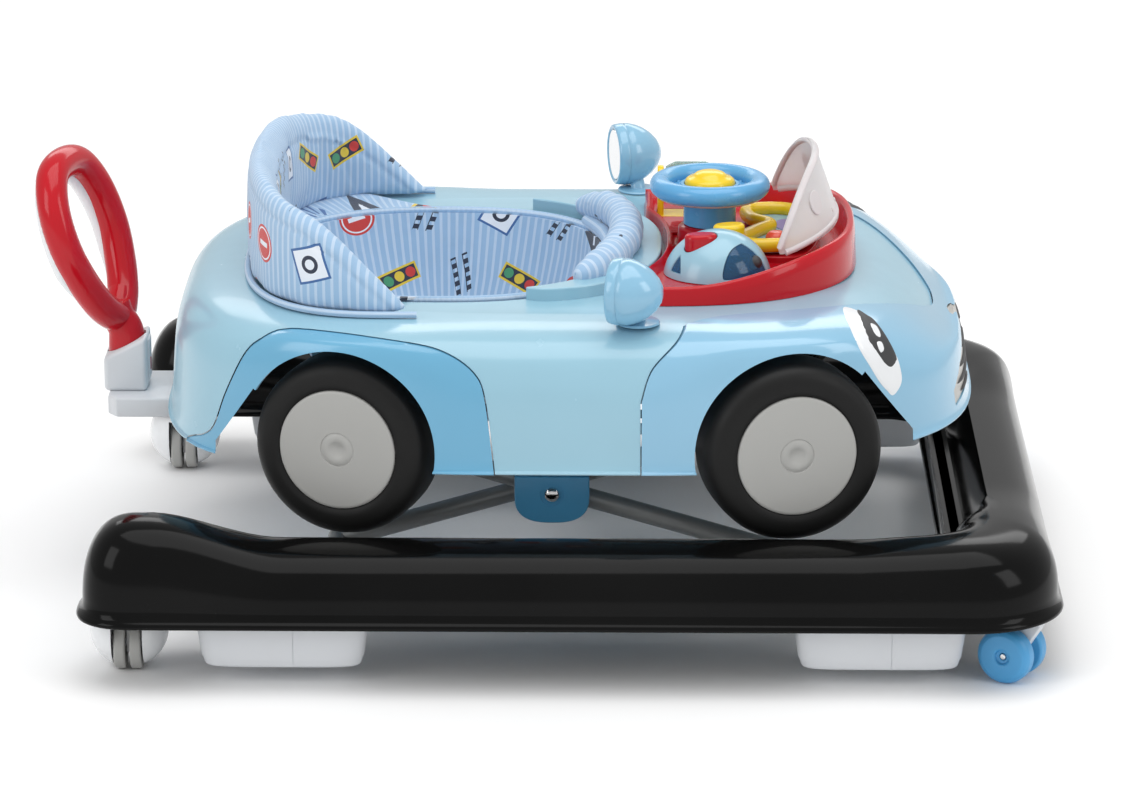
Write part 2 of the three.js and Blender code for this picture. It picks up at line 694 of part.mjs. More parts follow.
function underParts() {
  const parts = [];
  for (const [side] of SIDES) {
    const across = (a, b) => (side < 0 ? [-b, -a] : [a, b]);
    // bearing for the outer leg's upper pin
    const lug = [[-172, 152], [-166, 146], [-144, 146], [-138, 152], [-138, DECK_Z - 2], [-172, DECK_Z - 2]];
    const plate = sideways(lug, ...across(145.2, 150.5));
    parts.push(cut(plate, rod([PIN_X, side * 140, HIGH_Z], [PIN_X, side * 155, HIGH_Z], 5.8)));
    // slotted rail for the inner leg's cross bar
    const [railBack, railFront] = [SLIDE_X - PIN_TRAVEL - 16, SLIDE_X + 16];
    const rail = [
      [railBack, 144], [railFront, 144], [railFront, DECK_Z - 2], [railBack, DECK_Z - 2],
    ];
    const r = TUBE_R + 1;
    const slot = box(SLIDE_X - PIN_TRAVEL - r, SLIDE_X + r, ...across(110, 135), HIGH_Z - r, HIGH_Z + r);
    parts.push(cut(sideways(rail, ...across(120, 126)), slot));
    for (const wheel of WHEELS) {
      const inward = (wheel.y - wheel.plateY) / Math.sqrt(1 - wheel.toe ** 2);
      const [x] = wheelPoint(wheel, side, inward);
      const top = wheel.name === 'rear' ? DECK_Z - 2 : 247;
      parts.push(box(x - 10, x + 10, ...across(wheel.plateY - 3, wheel.plateY + 3), 148, top));
      if (wheel.name === 'front') {
        parts.push(box(x - 10, x + 10, ...across(132, wheel.plateY), 237, 247));
        parts.push(box(x - 10, x + 10, ...across(132, 146), 240, DECK_Z - 0.6));
      }
      parts.push(rod(wheelPoint(wheel, side, inward), wheelPoint(wheel, side, 7.5), 6));
    }
    // socket for the mirror stem
    parts.push(rod([76, side * 200, 240], [76, side * 200, 251.6], 12, 12));
  }
  return parts;
}

function collar() {
  const reach = (i, grow) => openingPoint(mix(-1.15, 1.15, i / 20), grow);
  const points = [];
  for (let i = 0; i <= 20; i += 1) points.push(reach(i, 3 + 27 * Math.sin((Math.PI * i) / 20) ** 0.5));
  for (let i = 20; i >= 0; i -= 1) points.push(reach(i, 0.6));
  return upright(points, DECK_Z - 2, DECK_Z + 10);
}

function carBody() {
  const tools = [fasciaTool(GAP), ...SIDES.map(([side]) => fenderTool(side, GAP, 44 + GAP))];
  const stemHoles = SIDES.map(([side]) => rod([76, side * 200, 236], [76, side * 200, 260], 7, 12));
  return cut(union(cut(plainSkin, ...tools), collar(), ...underParts()), ...stemHoles);
}
add('car_body', carBody(), PALE_BLUE);
for (const [side, hand] of SIDES) {
  add(`rear_fender_${hand}`, proudSkin.intersect(fenderTool(side, 0, 44)), MID_BLUE);
}
const grilleBlock = (grow) => lengthways(grown(GRILLE, grow), 255, 360);
add('front_fascia', cut(proudSkin.intersect(fasciaTool(0)), grilleBlock(GAP)), LIGHT_BLUE);
add('grille', bodySkin(0).intersect(grilleBlock(0)), SILVER);

// ---- big road wheels ------------------------------------------------------
const TYRE_PROFILE = [
  [6.4, 5.6], [HUBCAP_R + GAP, 5.6], [HUBCAP_R + GAP, 0], [59, 0], [66, 4.5], [68.5, 12],
  [68.5, 42], [64, WHEEL_DEPTH], [60.5, WHEEL_DEPTH], [64.5, 42], [64.5, 11], [14, 9],
  [14, WHEEL_DEPTH - 3], [6.4, WHEEL_DEPTH - 3], [6.4, 5.6],
];
const HUBCAP_PROFILE = [[0, 5.2], [HUBCAP_R, 5.2], [HUBCAP_R, 0.2], [0, 0.2]];

for (const wheel of WHEELS) {
  for (const [side, hand] of SIDES) {
    const inward = wheelAxis(wheel, side).multiplyScalar(-1).toArray();
    const face = wheelPoint(wheel, side, 0);
    add(`tyre_${wheel.name}_${hand}`, turned(TYRE_PROFILE, face, inward, 20), BLACK_MATT);
    add(`hubcap_${wheel.name}_${hand}`, turned(HUBCAP_PROFILE, face, inward, 20), GREY_PLASTIC);
  }
}

// ---- door mirrors ---------------------------------------------------------
const MIRROR_AT = { x: 76, y: 200, podX: 72, podY: 214, podZ: 282 };

function mirrorHousing(side) {
  const { x, y, podX, podY, podZ } = MIRROR_AT;
  const face = [-0.97, side * -0.24, 0];
  const pod = turned([
    [0, 0.5], [21, 0.5], [21, -1.8], [24.5, -1.8], [25.2, 2], [24, 14], [19.5, 27], [11, 35], [0, 37.5],
  ], [podX - 14, side * (podY - 3.5), podZ], face.map((v) => -v), 16);
  const stem = bar([
    [x, side * y, 254.6], [x - 0.5, side * (y + 3), 259], [podX + 1, side * (podY - 3), 264],
    [podX + 1, side * podY, podZ],
  ], 6.2, 4, 4);
  const foot = rod([x, side * y, 238], [x, side * y, 256], 6, 12);
  const flange = [[0, 254.4], [17, 254.4], [16.6, 256], [0, 256]];
  const ring = turned(flange, [x, side * y, 0], [0, 0, 1], 18);
  return union(pod, stem, foot, ring);
}

function mirrorGlass(side) {
  const { podX, podY, podZ } = MIRROR_AT;
  const face = [-0.97, side * -0.24, 0];
  const disc = [[0, -1.5], [20.6, -1.5], [20.6, 0.1], [0, 0.1]];
  return turned(disc, [podX - 14, side * (podY - 3.5), podZ], face.map((v) => -v), 16);
}
for (const [side, hand] of SIDES) {
  add(`mirror_housing_${hand}`, mirrorHousing(side), LIGHT_BLUE);
  add(`mirror_glass_${hand}`, mirrorGlass(side), MIRROR);
}

// ---- toy tray -----------------------------------------------------------
function trayOutline(inset, count = 16) {
  const points = [];
  for (let i = 0; i <= count; i += 1) {
    const t = mix(-Math.PI / 2, Math.PI / 2, i / count);
    const reach = TRAY_FRONT_X - TRAY_BACK_X + 18;
    const x = TRAY_BACK_X - 18 + (reach - inset) * Math.cos(t) ** 0.8;
    points.push([x, (TRAY_HALF_WIDTH - inset) * power(Math.sin(t), 0.8)]);
  }
  for (let i = 1; i < 12; i += 1) {
    const y = mix(TRAY_HALF_WIDTH - inset, inset - TRAY_HALF_WIDTH, i / 12);
    const s = (Math.abs(y) / (OPENING_HALF_WIDTH + 32)) ** 1.205;
    const hug = OPENING_X + (OPENING_HALF_LENGTH + 32) * Math.sqrt(1 - s * s) ** 0.83;
    points.push([Math.max(TRAY_BACK_X - 19, hug) + inset * 0.6, y]);
  }
  return points;
}

function rimHeight(x) {
  return 268 + 20 * smooth(110, 245, x);
}

function toyTray() {
  const levels = [
    [0, () => DECK_Z + GAP], [1.2, (rim) => rim - 12], [4, (rim) => rim], [8, (rim) => rim],
    [12, () => TRAY_FLOOR_Z],
  ];
  return capped(levels.map(([inset, height]) => (
    trayOutline(inset).map(([x, y]) => [x, y, height(rimHeight(x))]))));
}
const STEER = { x: 132, y: 0, z: 310 };

// ---- steering wheel and horn button ---------------------------------------
function steeringWheel() {
  const { x, y, z } = STEER;
  const rim = new THREE.TorusGeometry(39, 8.2, 7, 20);
  rim.translate(x, y, z);
  const dish = turned([[21.2, -5], [34, -6], [34, -2], [21.2, -1], [21.2, -5]], [x, y, z], [0, 0, 1], 20);
  const hub = turned([
    [0, -30.5], [20.5, -30.5], [20.5, -8], [23, -7], [23, 2], [20.2, 2], [20.2, -5], [0, -5],
  ], [x, y, z], [0, 0, 1], 20);
  return union(toSolid(rim), dish, hub);
}
add('steering_wheel', steeringWheel(), MID_BLUE);
add('horn_button', turned([
  [0, -2], [19.8, -2], [19.8, 3], [17, 7.5], [10, 10.6], [0, 11.8],
], [STEER.x, STEER.y, STEER.z], [0, 0, 1], 20), YELLOW);

// ---- light-and-sound pod with two buttons ---------------------------------
const POD = { x: 137, y: -84, z: 256, a: 42, b: 38, h: 40 };
const podDome = (shrink) => {
  const dome = ball(POD.x, POD.y, POD.z, POD.a - shrink, POD.b - shrink, POD.h - shrink, 20);
  return dome.intersect(box(80, 200, -140, -30, TRAY_FLOOR_Z + GAP, 320));
};
const podWindowBlock = (grow) => union(
  box(141 - grow, 200, -140, -98 + grow, 269 - grow, 288 + grow),
  box(165 - grow, 200, -140, -64 + grow, 269 - grow, 286 + grow),
);
const BUTTONS = [
  { name: 'red_button', x: 124, y: -96, turn: 12, finish: RED },
  { name: 'yellow_button', x: 146, y: -66, turn: 20, finish: YELLOW },
];
function button({ x, y, turn }, grow, z0, z1) {
  const geometry = new THREE.CylinderGeometry(10 + grow, 10 + grow, z1 - z0, 16);
  geometry.rotateX(Math.PI / 2);
  geometry.scale(1.25, 0.8, 1);
  geometry.rotateZ(THREE.MathUtils.degToRad(turn));
  geometry.translate(x, y, (z0 + z1) / 2);
  return toSolid(geometry);
}
const podSockets = BUTTONS.map((item) => button(item, GAP, 278, 320));
add('pod_shell', cut(podDome(0), podWindowBlock(GAP), ...podSockets), PALE_BLUE);
add('pod_window', podDome(0.4).intersect(podWindowBlock(0)), CLEAR_BLUE);
for (const item of BUTTONS) add(item.name, button(item, 0, 281.5, 296), item.finish);

// ---- yellow picture frame -------------------------------------------------
function pictureFrame() {
  const outer = [
    [156, -46], [196, -46], [208, -20], [214, 20], [206, 58], [186, 66], [158, 52], [170, 20], [166, -10],
  ];
  const inner = grown(outer, -7);
  const z0 = 268;
  return cut(upright(outer, z0, 281), upright(inner, z0 - 5, 300));
}
const framePlate = upright([
  [152, -43], [168, -53], [200, -54], [214, -22], [219, 20], [211, 62], [188, 72], [150, 58],
], 256, 267.6);

// ---- roller toy: stand and barrel -----------------------------------------
const ROLLER = { x: 118, y: 98, z: 292 };
function rollerStand() {
  const { x, y, z } = ROLLER;
  const parts = [-1, 1].map((end) => {
    const arm = [[y - 10, 256], [y + 10, 256], [y + 7, z + 4], [y, z + 9], [y - 7, z + 4]];
    const x0 = x + end * 24 - 2.5;
    return lengthways(arm, x0, x0 + 5);
  });
  const foot = box(x - 26.5, x + 26.5, y - 12, y + 12, 254.6, 262);
  const axle = rod([x - 24, y, z], [x + 24, y, z], 2.5, 12);
  return union(...parts, foot, axle);
}

const columnBoss = rod([STEER.x, 0, 256], [STEER.x, 0, 279], 25, 20);
const trayBlock = union(toyTray(), columnBoss, framePlate);
const rollerHole = box(ROLLER.x - 27, ROLLER.x + 27, ROLLER.y - 12.4, ROLLER.y + 12.4, 240, 300);
add('toy_tray', cut(trayBlock, rollerHole), RED);
add('picture_frame', pictureFrame(), YELLOW);
add('roller_stand', rollerStand(), YELLOW);
add('roller_barrel', turned([
  [2.8, -20], [8, -20], [12, -12], [12, 12], [8, 20], [2.8, 20], [2.8, -20],
], [ROLLER.x, ROLLER.y, ROLLER.z], [1, 0, 0], 14), CLEAR_TEAL);

// ---- windscreen -----------------------------------------------------------
const SCREEN_HALF_WIDTH = 99;
const SCREEN_RISE = 50;

// Curved pane standing on the tray's front rim, highest in the middle.
function windscreen() {
  const rings = [];
  const count = 18;
  for (let i = 0; i <= count; i += 1) {
    const y = mix(-SCREEN_HALF_WIDTH, SCREEN_HALF_WIDTH, i / count);
    const s = y / SCREEN_HALF_WIDTH;
    const x = 186 + 47 * (1 - s * s) ** 0.6;
    const bottom = rimHeight(x) + 0.5;
    const tall = SCREEN_RISE * (1 - Math.abs(s) ** 3) ** 0.6 + 3;
    const lean = -0.35;
    const ring = [];
    for (const [u, offset] of [[0, 0], [1, 0], [1, 3], [0, 3]]) {
      ring.push([x + lean * tall * u - offset, y, bottom + tall * u]);
    }
    rings.push(ring);
  }
  return fanned(rings);
}
add('windscreen', windscreen(), FROSTED);

// ---- push handle --------------------------------------------------------
const STEM_X = -328;

// Point on the leaning, slightly turned plane of the handle's ring.
const handlePoint = (u, v) => [STEM_X - 2.6 - (v - 190) * 0.325 + 0.3 * u, u, v];

function pushHandle() {
  const loop = [
    [0, 326], [26, 320], [42, 297], [45, 266], [35, 236], [19, 213], [0, 203], [-19, 213], [-35, 236],
    [-45, 266], [-42, 297], [-26, 320],
  ].map(([u, v]) => new THREE.Vector3(...handlePoint(u, v)));
  const path = new THREE.CatmullRomCurve3(loop, true, 'centripetal');
  const ring = toSolid(new THREE.TubeGeometry(path, 24, 12.5, 7, true));
  const low = [134, 160, 192].map((z) => [STEM_X, 0, z]);
  const stem = bar([...low, handlePoint(0, 212)], 14.5, 4, 5);
  return union(ring, stem);
}

function gripInlay(shrink = 0) {
  const loop = [];
  for (let i = 0; i <= 12; i += 1) {
    const a = mix(-2.45, 2.45, i / 12);
    loop.push([44 * Math.sin(a), 268 + 56 * Math.cos(a)]);
  }
  const points = loop.map(([u, v]) => {
    const [x, y, z] = handlePoint(u, v);
    return [x - 12.5, y, z - 4];
  });
  return bar(points, 6 - shrink, 14, 3);
}
const handleWhole = pushHandle();
const inlay = gripInlay();
add('push_handle', cut(handleWhole, inlay), RED);
add('handle_grip', gripInlay(0.3), WHITE);

function handleBracket() {
  const plan = [[-341, -30], [-334, -40], [-262, -40], [-262, 40], [-334, 40], [-341, 30]];
  const plate = upright(plan, 130, 145.4);
  const arm = [[-345, 145], [-311, 145], [-311, 190], [-345, 173]];
  const sleeve = sideways(arm, -20, 20);
  const bore = rod([STEM_X, 0, 133.5], [STEM_X, 0, 215], 15.3, 20);
  return cut(union(plate, sleeve), bore);
}
add('handle_bracket', handleBracket(), WHITE);

// ---- seat: padded back and sling ------------------------------------------
const BACK_TOP = [
  [-240, 349], [-224, 346], [-205, 338], [-177, 330], [-152, 314], [-117, 283], [-94, 261], [-80, 257],
];

// Height of the padded back above the floor, falling towards the front ends.
function backTop(x) {
  const i = Math.max(1, BACK_TOP.findIndex(([end]) => x <= end));
  const [[x0, z0], [x1, z1]] = [BACK_TOP[i - 1], BACK_TOP[i]];
  return mix(z0, z1, (x - x0) / (x1 - x0));
}

function seatBack() {
  const rings = [];
  const count = 20;
  for (let i = 0; i <= count; i += 1) {
    const t = mix(0.475, 1.525, i / count) * Math.PI;
    const outerAt = (grow) => {
      return [-106 + (124 + grow) * power(Math.cos(t), 0.72), (190 + grow) * power(Math.sin(t), 0.72)];
    };
    const [ox] = outerAt(0);
    const top = backTop(ox);
    const low = DECK_Z + GAP;
    const middle = mix(low, top, 0.5);
    const section = [
      [0, low], [0, middle], [-3, top - 7], [-10, top], [-17, top - 2], [-22, top - 9], [-24, middle],
      [-24, low],
    ];
    rings.push(section.map(([grow, z]) => [...outerAt(grow), Math.max(low + (z > low ? 4 : 0), z)]));
  }
  return fanned(rings);
}
add('seat_back', seatBack(), FABRIC);

function seatSling() {
  // height, half length, half width and centre of each level
  const levels = [
    [249, 134, 136, -79], [225, 132, 128, -78], [180, 112, 108, -72], [145, 88, 82, -66],
    [132, 62, 56, -62],
  ];
  const level = (z, a, b, x0, shrink) => {
    const ring = [];
    for (let i = 0; i < 20; i += 1) {
      const t = (i / 20) * 2 * Math.PI;
      ring.push([x0 + (a - shrink) * power(Math.cos(t), 0.83), (b - shrink) * power(Math.sin(t), 0.83), z]);
    }
    return ring;
  };
  const outer = capped(levels.map(([z, a, b, x0]) => level(z, a, b, x0, 0)).reverse());
  const inner = capped(levels.map(([z, a, b, x0], i) => level(i ? z + 7 : 260, a, b, x0, 7)).reverse());
  const legs = SIDES.map(([side]) => rod([-50, side * 34, 170], [-20, side * 44, 90], 27, 10));
  const roll = bar([
    [28, -112, 264], [50, -84, 270], [63, -42, 273], [67, 0, 274], [63, 42, 273], [50, 84, 270],
    [28, 112, 264],
  ], 15, 10, 5);
  const belt = bar([[36, -88, 253], [50, -44, 254], [55, 0, 254], [50, 44, 254], [36, 88, 253]], 7.5, 6, 3);
  const deckClear = box(-10, 120, -160, 160, 240, DECK_Z + 10.4).subtract(openingBlock());
  return union(cut(outer, inner, ...legs), cut(union(roll, belt), deckClear));
}

function openingBlock() {
  const points = [];
  for (let i = 0; i < 22; i += 1) points.push(openingPoint((i / 22) * 2 * Math.PI, -1.5));
  return upright(points, 200, 300);
}
add('seat_sling', seatSling(), FABRIC);

export default group;
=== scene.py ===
import math

import bmesh
import bpy
from mathutils import Matrix, Quaternion, Vector
from mathutils.bvhtree import BVHTree


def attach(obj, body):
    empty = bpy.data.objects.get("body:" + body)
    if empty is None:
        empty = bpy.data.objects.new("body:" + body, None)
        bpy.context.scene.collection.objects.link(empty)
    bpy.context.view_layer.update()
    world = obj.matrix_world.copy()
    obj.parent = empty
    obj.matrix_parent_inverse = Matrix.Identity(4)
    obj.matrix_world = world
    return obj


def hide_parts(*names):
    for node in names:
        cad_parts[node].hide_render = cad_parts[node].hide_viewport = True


# Looks of the car-shaped baby walker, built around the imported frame.
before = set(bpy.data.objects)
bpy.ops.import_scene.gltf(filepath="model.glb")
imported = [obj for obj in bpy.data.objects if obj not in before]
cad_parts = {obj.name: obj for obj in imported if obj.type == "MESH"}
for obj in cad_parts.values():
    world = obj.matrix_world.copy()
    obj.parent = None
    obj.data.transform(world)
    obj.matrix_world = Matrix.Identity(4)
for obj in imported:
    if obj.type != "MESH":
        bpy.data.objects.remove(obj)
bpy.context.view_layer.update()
MM = 0.001
SIDES = ((-1, "right"), (1, "left"))


# ---- node maths -------------------------------------------------------------
class Val:
    """A number in a node tree, so that patterns read as plain arithmetic."""

    def __init__(self, tree, socket):
        self.tree = tree
        self.socket = socket

    def op(self, kind, *others):
        node = self.tree.nodes.new("ShaderNodeMath")
        node.operation = kind
        for slot, value in zip(node.inputs, (self, *others)):
            if isinstance(value, Val):
                self.tree.links.new(value.socket, slot)
            else:
                slot.default_value = value
        return Val(self.tree, node.outputs[0])

    def __add__(self, other):
        return self.op("ADD", other)

    def __sub__(self, other):
        return self.op("SUBTRACT", other)

    def __mul__(self, other):
        return self.op("MULTIPLY", other)

    def __lt__(self, other):
        return self.op("LESS_THAN", other)

    def __gt__(self, other):
        return self.op("GREATER_THAN", other)

    def abs(self):
        return self.op("ABSOLUTE")

    def low(self, other):
        return self.op("MINIMUM", other)

    def high(self, other):
        return self.op("MAXIMUM", other)


class Look:
    """A principled material being put together."""

    def __init__(self, name, roughness=0.4, **values):
        self.material = bpy.data.materials.new(name)
        self.material.use_nodes = True
        self.tree = self.material.node_tree
        self.shader = self.tree.nodes["Principled BSDF"]
        self.shader.inputs["Roughness"].default_value = roughness
        for key, value in values.items():
            self.shader.inputs[key.replace("_", " ")].default_value = value

    def node(self, kind, **values):
        node = self.tree.nodes.new(kind)
        for key, value in values.items():
            if key in node.inputs:
                node.inputs[key].default_value = value
            else:
                setattr(node, key, value)
        return node

    def link(self, source, target):
        self.tree.links.new(source, target)

    def place(self, kind="Object"):
        return self.node("ShaderNodeTexCoord").outputs[kind]

    def noise(self, scale, detail=2.0, kind="Object"):
        node = self.node("ShaderNodeTexNoise", Scale=scale, Detail=detail)
        self.link(self.place(kind), node.inputs["Vector"])
        return node.outputs["Fac"]

    def remap(self, socket, low, high):
        node = self.node("ShaderNodeMapRange")
        self.link(socket, node.inputs["Value"])
        node.inputs["To Min"].default_value = low
        node.inputs["To Max"].default_value = high
        return node.outputs["Result"]

    def blend(self, factor, first, second, mode="MIX"):
        node = self.node("ShaderNodeMix", data_type="RGBA", blend_type=mode)
        for slot, value in ((0, factor), (6, first), (7, second)):
            if hasattr(value, "is_output"):
                self.link(value, node.inputs[slot])
            elif isinstance(value, Val):
                self.link(value.socket, node.inputs[slot])
            elif isinstance(value, (int, float)):
                node.inputs[slot].default_value = value
            else:
                node.inputs[slot].default_value = (*value[:3], 1.0)
        return node.outputs[2]

    def bump(self, height, strength, distance=0.001, under=None):
        node = self.node("ShaderNodeBump", Strength=strength, Distance=distance)
        self.link(height, node.inputs["Height"])
        if under is not None:
            self.link(under, node.inputs["Normal"])
        return node.outputs["Normal"]


def srgb(red, green, blue):
    return tuple((c / 255 / 12.92) if c < 11 else ((c / 255 + 0.055) / 1.055) ** 2.4 for c in (red, green, blue))


def plastic(name, colour, roughness, coat=0.0, grain=0.02, wear=0.06, **values):
    """Moulded plastic: slight flow marks, fine grain and lighter worn edges."""
    look = Look(name, roughness, Coat_Weight=coat, Coat_Roughness=0.06, **values)
    flow = look.noise(9.0, 3.0)
    darker = tuple(c * 0.93 for c in colour)
    lighter = tuple(min(1.0, c * 1.04 + 0.004) for c in colour)
    base = look.blend(flow, darker, lighter)
    edge = look.node("ShaderNodeNewGeometry").outputs["Pointiness"]
    ramp = look.node("ShaderNodeMapRange")
    look.link(edge, ramp.inputs["Value"])
    ramp.inputs["From Min"].default_value = 0.53
    ramp.inputs["From Max"].default_value = 0.62
    ramp.inputs["To Max"].default_value = wear
    worn = tuple(min(1.0, c * 1.15 + 0.03) for c in colour)
    look.link(look.blend(ramp.outputs["Result"], base, worn), look.shader.inputs["Base Color"])
    scuff = look.noise(55.0, 4.0)
    look.link(look.remap(scuff, roughness * 0.82, roughness * 1.22 + 0.01), look.shader.inputs["Roughness"])
    look.link(look.bump(look.noise(1400.0, 1.0), grain, 0.0004), look.shader.inputs["Normal"])
    return look.material


def metal(name, colour, roughness, metallic):
    look = Look(name, roughness, Metallic=metallic)
    look.link(look.blend(look.noise(40.0, 4.0), tuple(c * 0.9 for c in colour), colour), look.shader.inputs["Base Color"])
    look.link(look.remap(look.noise(220.0, 3.0), roughness * 0.8, roughness * 1.3), look.shader.inputs["Roughness"])
    look.link(look.bump(look.noise(900.0, 2.0), 0.03, 0.0003), look.shader.inputs["Normal"])
    return look.material


def clear(name, colour, roughness, alpha, grain=0.01):
    look = Look(name, roughness, Transmission_Weight=alpha, IOR=1.4)
    look.link(look.blend(look.noise(14.0), tuple(c * 0.9 for c in colour), colour), look.shader.inputs["Base Color"])
    look.link(look.remap(look.noise(60.0, 3.0), roughness * 0.8, roughness * 1.2), look.shader.inputs["Roughness"])
    look.link(look.bump(look.noise(1100.0), grain, 0.0003), look.shader.inputs["Normal"])
    return look.material


def cloth(name, printed=True, ribbed=False):
    """Pale blue cloth with fine white stripes, and scattered road signs if printed."""
    look = Look(name, 0.85, Sheen_Weight=0.35, Sheen_Roughness=0.5)
    uv = look.node("ShaderNodeSeparateXYZ")
    look.link(look.place("UV"), uv.inputs[0])
    u = Val(look.tree, uv.outputs["X"])
    v = Val(look.tree, uv.outputs["Y"])
    stripe = (u * (2 * math.pi / 0.0062)).op("SINE")
    shade = look.remap(look.noise(30.0, 3.0), 0.0, 1.0)
    ground = look.blend(shade, srgb(150, 184, 216), srgb(164, 196, 226))
    colour = look.blend((stripe > 0.45) * 0.55, ground, srgb(214, 228, 243))
    if printed:
        colour = signs(look, u, v, colour)
    look.link(colour, look.shader.inputs["Base Color"])
    warp = (u * (2 * math.pi / 0.0011)).op("SINE")
    weft = (v * (2 * math.pi / 0.0011)).op("SINE")
    weave = warp * weft
    if ribbed:
        weave = (v * (2 * math.pi / 0.0042)).op("SINE") * 3.0 + weave
    folds = look.bump(look.noise(20.0, 3.0), 0.5, 0.006)
    look.link(look.bump(weave.socket, 0.3, 0.0004, folds), look.shader.inputs["Normal"])
    return look.material


def signs(look, u, v, colour):
    """Generic road-sign prints, one to a cell, turned and shifted at random."""
    size = 0.052
    row = (v * (1 / size)).op("FLOOR")
    shifted = u * (1 / size) + row * 0.5
    column = shifted.op("FLOOR")
    seed = look.node("ShaderNodeCombineXYZ")
    look.link(column.socket, seed.inputs[0])
    look.link(row.socket, seed.inputs[1])
    chance = look.node("ShaderNodeTexWhiteNoise", noise_dimensions="3D")
    look.link(seed.outputs[0], chance.inputs["Vector"])
    pick = Val(look.tree, chance.outputs["Value"])
    parts = look.node("ShaderNodeSeparateColor")
    look.link(chance.outputs["Color"], parts.inputs[0])
    tilt = (Val(look.tree, parts.outputs[1]) - 0.5) * 1.1
    x0 = shifted - column - 0.5 - (Val(look.tree, parts.outputs[2]) - 0.5) * 0.16
    y0 = v * (1 / size) - row - 0.5
    cos, sin = tilt.op("COSINE"), tilt.op("SINE")
    x = x0 * cos - y0 * sin
    y = x0 * sin + y0 * cos
    radius = (x * x + y * y).op("SQRT")
    square = x.abs().high(y.abs())
    diamond = x.abs() + y.abs()

    def between(low, high):
        return (pick > low) * (pick < high)

    def lay(under, mask, ink):
        return look.blend(mask, under, ink)

    red, ink, yellow = srgb(206, 62, 58), srgb(44, 52, 70), srgb(226, 196, 66)
    white, blue, green = srgb(232, 238, 246), srgb(62, 104, 160), srgb(72, 150, 108)
    disc = between(0.0, 0.16)
    colour = lay(colour, disc * (radius < 0.27), red)
    colour = lay(colour, disc * (radius < 0.235) * (radius > 0.212), white)
    colour = lay(colour, disc * (x.abs() < 0.13) * (y.abs() < 0.035), white)
    bars = between(0.16, 0.34)
    slanted = x + y * 0.25
    weave = ((y * 46.0).op("SINE") > -0.2).high(((slanted + 0.5) * 60.0).op("SINE") > 0.6)
    stripe = ((slanted - 0.1).abs() < 0.045).high((slanted + 0.1).abs() < 0.045)
    colour = lay(colour, bars * stripe * (y.abs() < 0.3) * weave, ink)
    arrow = between(0.34, 0.5)
    colour = lay(colour, arrow * (diamond < 0.34), ink)
    head = (x.abs() + y * 0.8 < 0.15) * (y > 0.0)
    shaft = (x.abs() < 0.035) * (y.abs() < 0.16)
    colour = lay(colour, arrow * head.high(shaft), white)
    lights = between(0.5, 0.66)
    colour = lay(colour, lights * (x.abs() < 0.33) * (y.abs() < 0.14), yellow)
    colour = lay(colour, lights * (x.abs() < 0.3) * (y.abs() < 0.105), ink)
    for offset, lamp in ((-0.2, red), (0.0, yellow), (0.2, green)):
        away = ((x - offset) * (x - offset) + y * y).op("SQRT")
        colour = lay(colour, lights * (away < 0.082), lamp)
    plate = between(0.66, 0.82)
    colour = lay(colour, plate * (square < 0.26), blue)
    colour = lay(colour, plate * (square < 0.225), white)
    colour = lay(colour, plate * (radius < 0.13) * (radius > 0.075), ink)
    sun = between(0.82, 0.93)
    rays = (y.op("ARCTAN2", x) * 11.0).op("SINE") > 0.3
    colour = lay(colour, sun * rays * (radius < 0.28) * (radius > 0.13), blue)
    warning = between(0.93, 1.01)
    colour = lay(colour, warning * (radius < 0.24), red)
    return lay(colour, warning * (radius < 0.17), white)


LOOKS = {
    "black": plastic("black_gloss", srgb(4, 4, 4), 0.12, 0.0, 0.012, 0.0, Specular_IOR_Level=0.13),
    "tyre": plastic("black_matt", srgb(15, 15, 15), 0.5, 0.0, 0.06, 0.0, Specular_IOR_Level=0.25),
    "pale": plastic("pale_blue", srgb(151, 194, 212), 0.24, 0.25),
    "light": plastic("light_blue", srgb(138, 188, 216), 0.16, 0.45, 0.012),
    "mid": plastic("mid_blue", srgb(106, 172, 206), 0.22, 0.3),
    "toy_blue": plastic("toy_blue", srgb(92, 166, 214), 0.25, 0.25),
    "caster_blue": plastic("caster_blue", srgb(76, 160, 214), 0.34),
    "clip": plastic("clip_blue", srgb(84, 168, 216), 0.4),
    "white": plastic("white_plastic", srgb(212, 215, 219), 0.34, 0.0, 0.03),
    "gloss_white": plastic("gloss_white", srgb(236, 238, 240), 0.16, 0.3, 0.01),
    "grey": plastic("grey_plastic", srgb(170, 170, 167), 0.4, 0.0, 0.05),
    "silver": plastic("silver_plastic", srgb(178, 176, 170), 0.32, 0.1, Metallic=0.35),
    # dark plastic for the eye pupils and beads; also the painted shade in the grille slots
    "dark": plastic("dark_plastic_and_slot_shade", srgb(52, 52, 54), 0.5),
    "red": plastic("red_gloss", srgb(190, 14, 30), 0.13, 0.0, 0.01, 0.0, Specular_IOR_Level=0.35),
    "yellow": plastic("yellow_gloss", srgb(246, 206, 22), 0.22, 0.25),
    "coral": plastic("coral_knob", srgb(232, 84, 58), 0.25, 0.2),
    "purple": plastic("purple_print", srgb(130, 118, 178), 0.4),
    "tube": metal("painted_tube", srgb(150, 152, 152), 0.4, 0.35),
    "chrome": metal("bright_steel", (0.8, 0.8, 0.8), 0.14, 1.0),
    "mirror": metal("mirror_film", (0.86, 0.87, 0.88), 0.07, 0.9),
    "clear_blue": clear("clear_blue", srgb(70, 140, 190), 0.05, 0.75),
    "clear_teal": clear("clear_teal", srgb(170, 226, 216), 0.1, 0.7),
    "frosted": clear("frosted", srgb(252, 250, 251), 0.32, 0.5, 0.06),
    "frosted_rim": clear("frosted_rim", srgb(250, 243, 244), 0.4, 0.35, 0.06),
    "ring_glow": clear("soft_pink", srgb(246, 214, 204), 0.4, 0.3),
    "print_cloth": cloth("printed_cloth"),
    "plain_cloth": cloth("striped_cloth", printed=False),
    "rib_cloth": cloth("ribbed_piping", printed=False, ribbed=True),
}


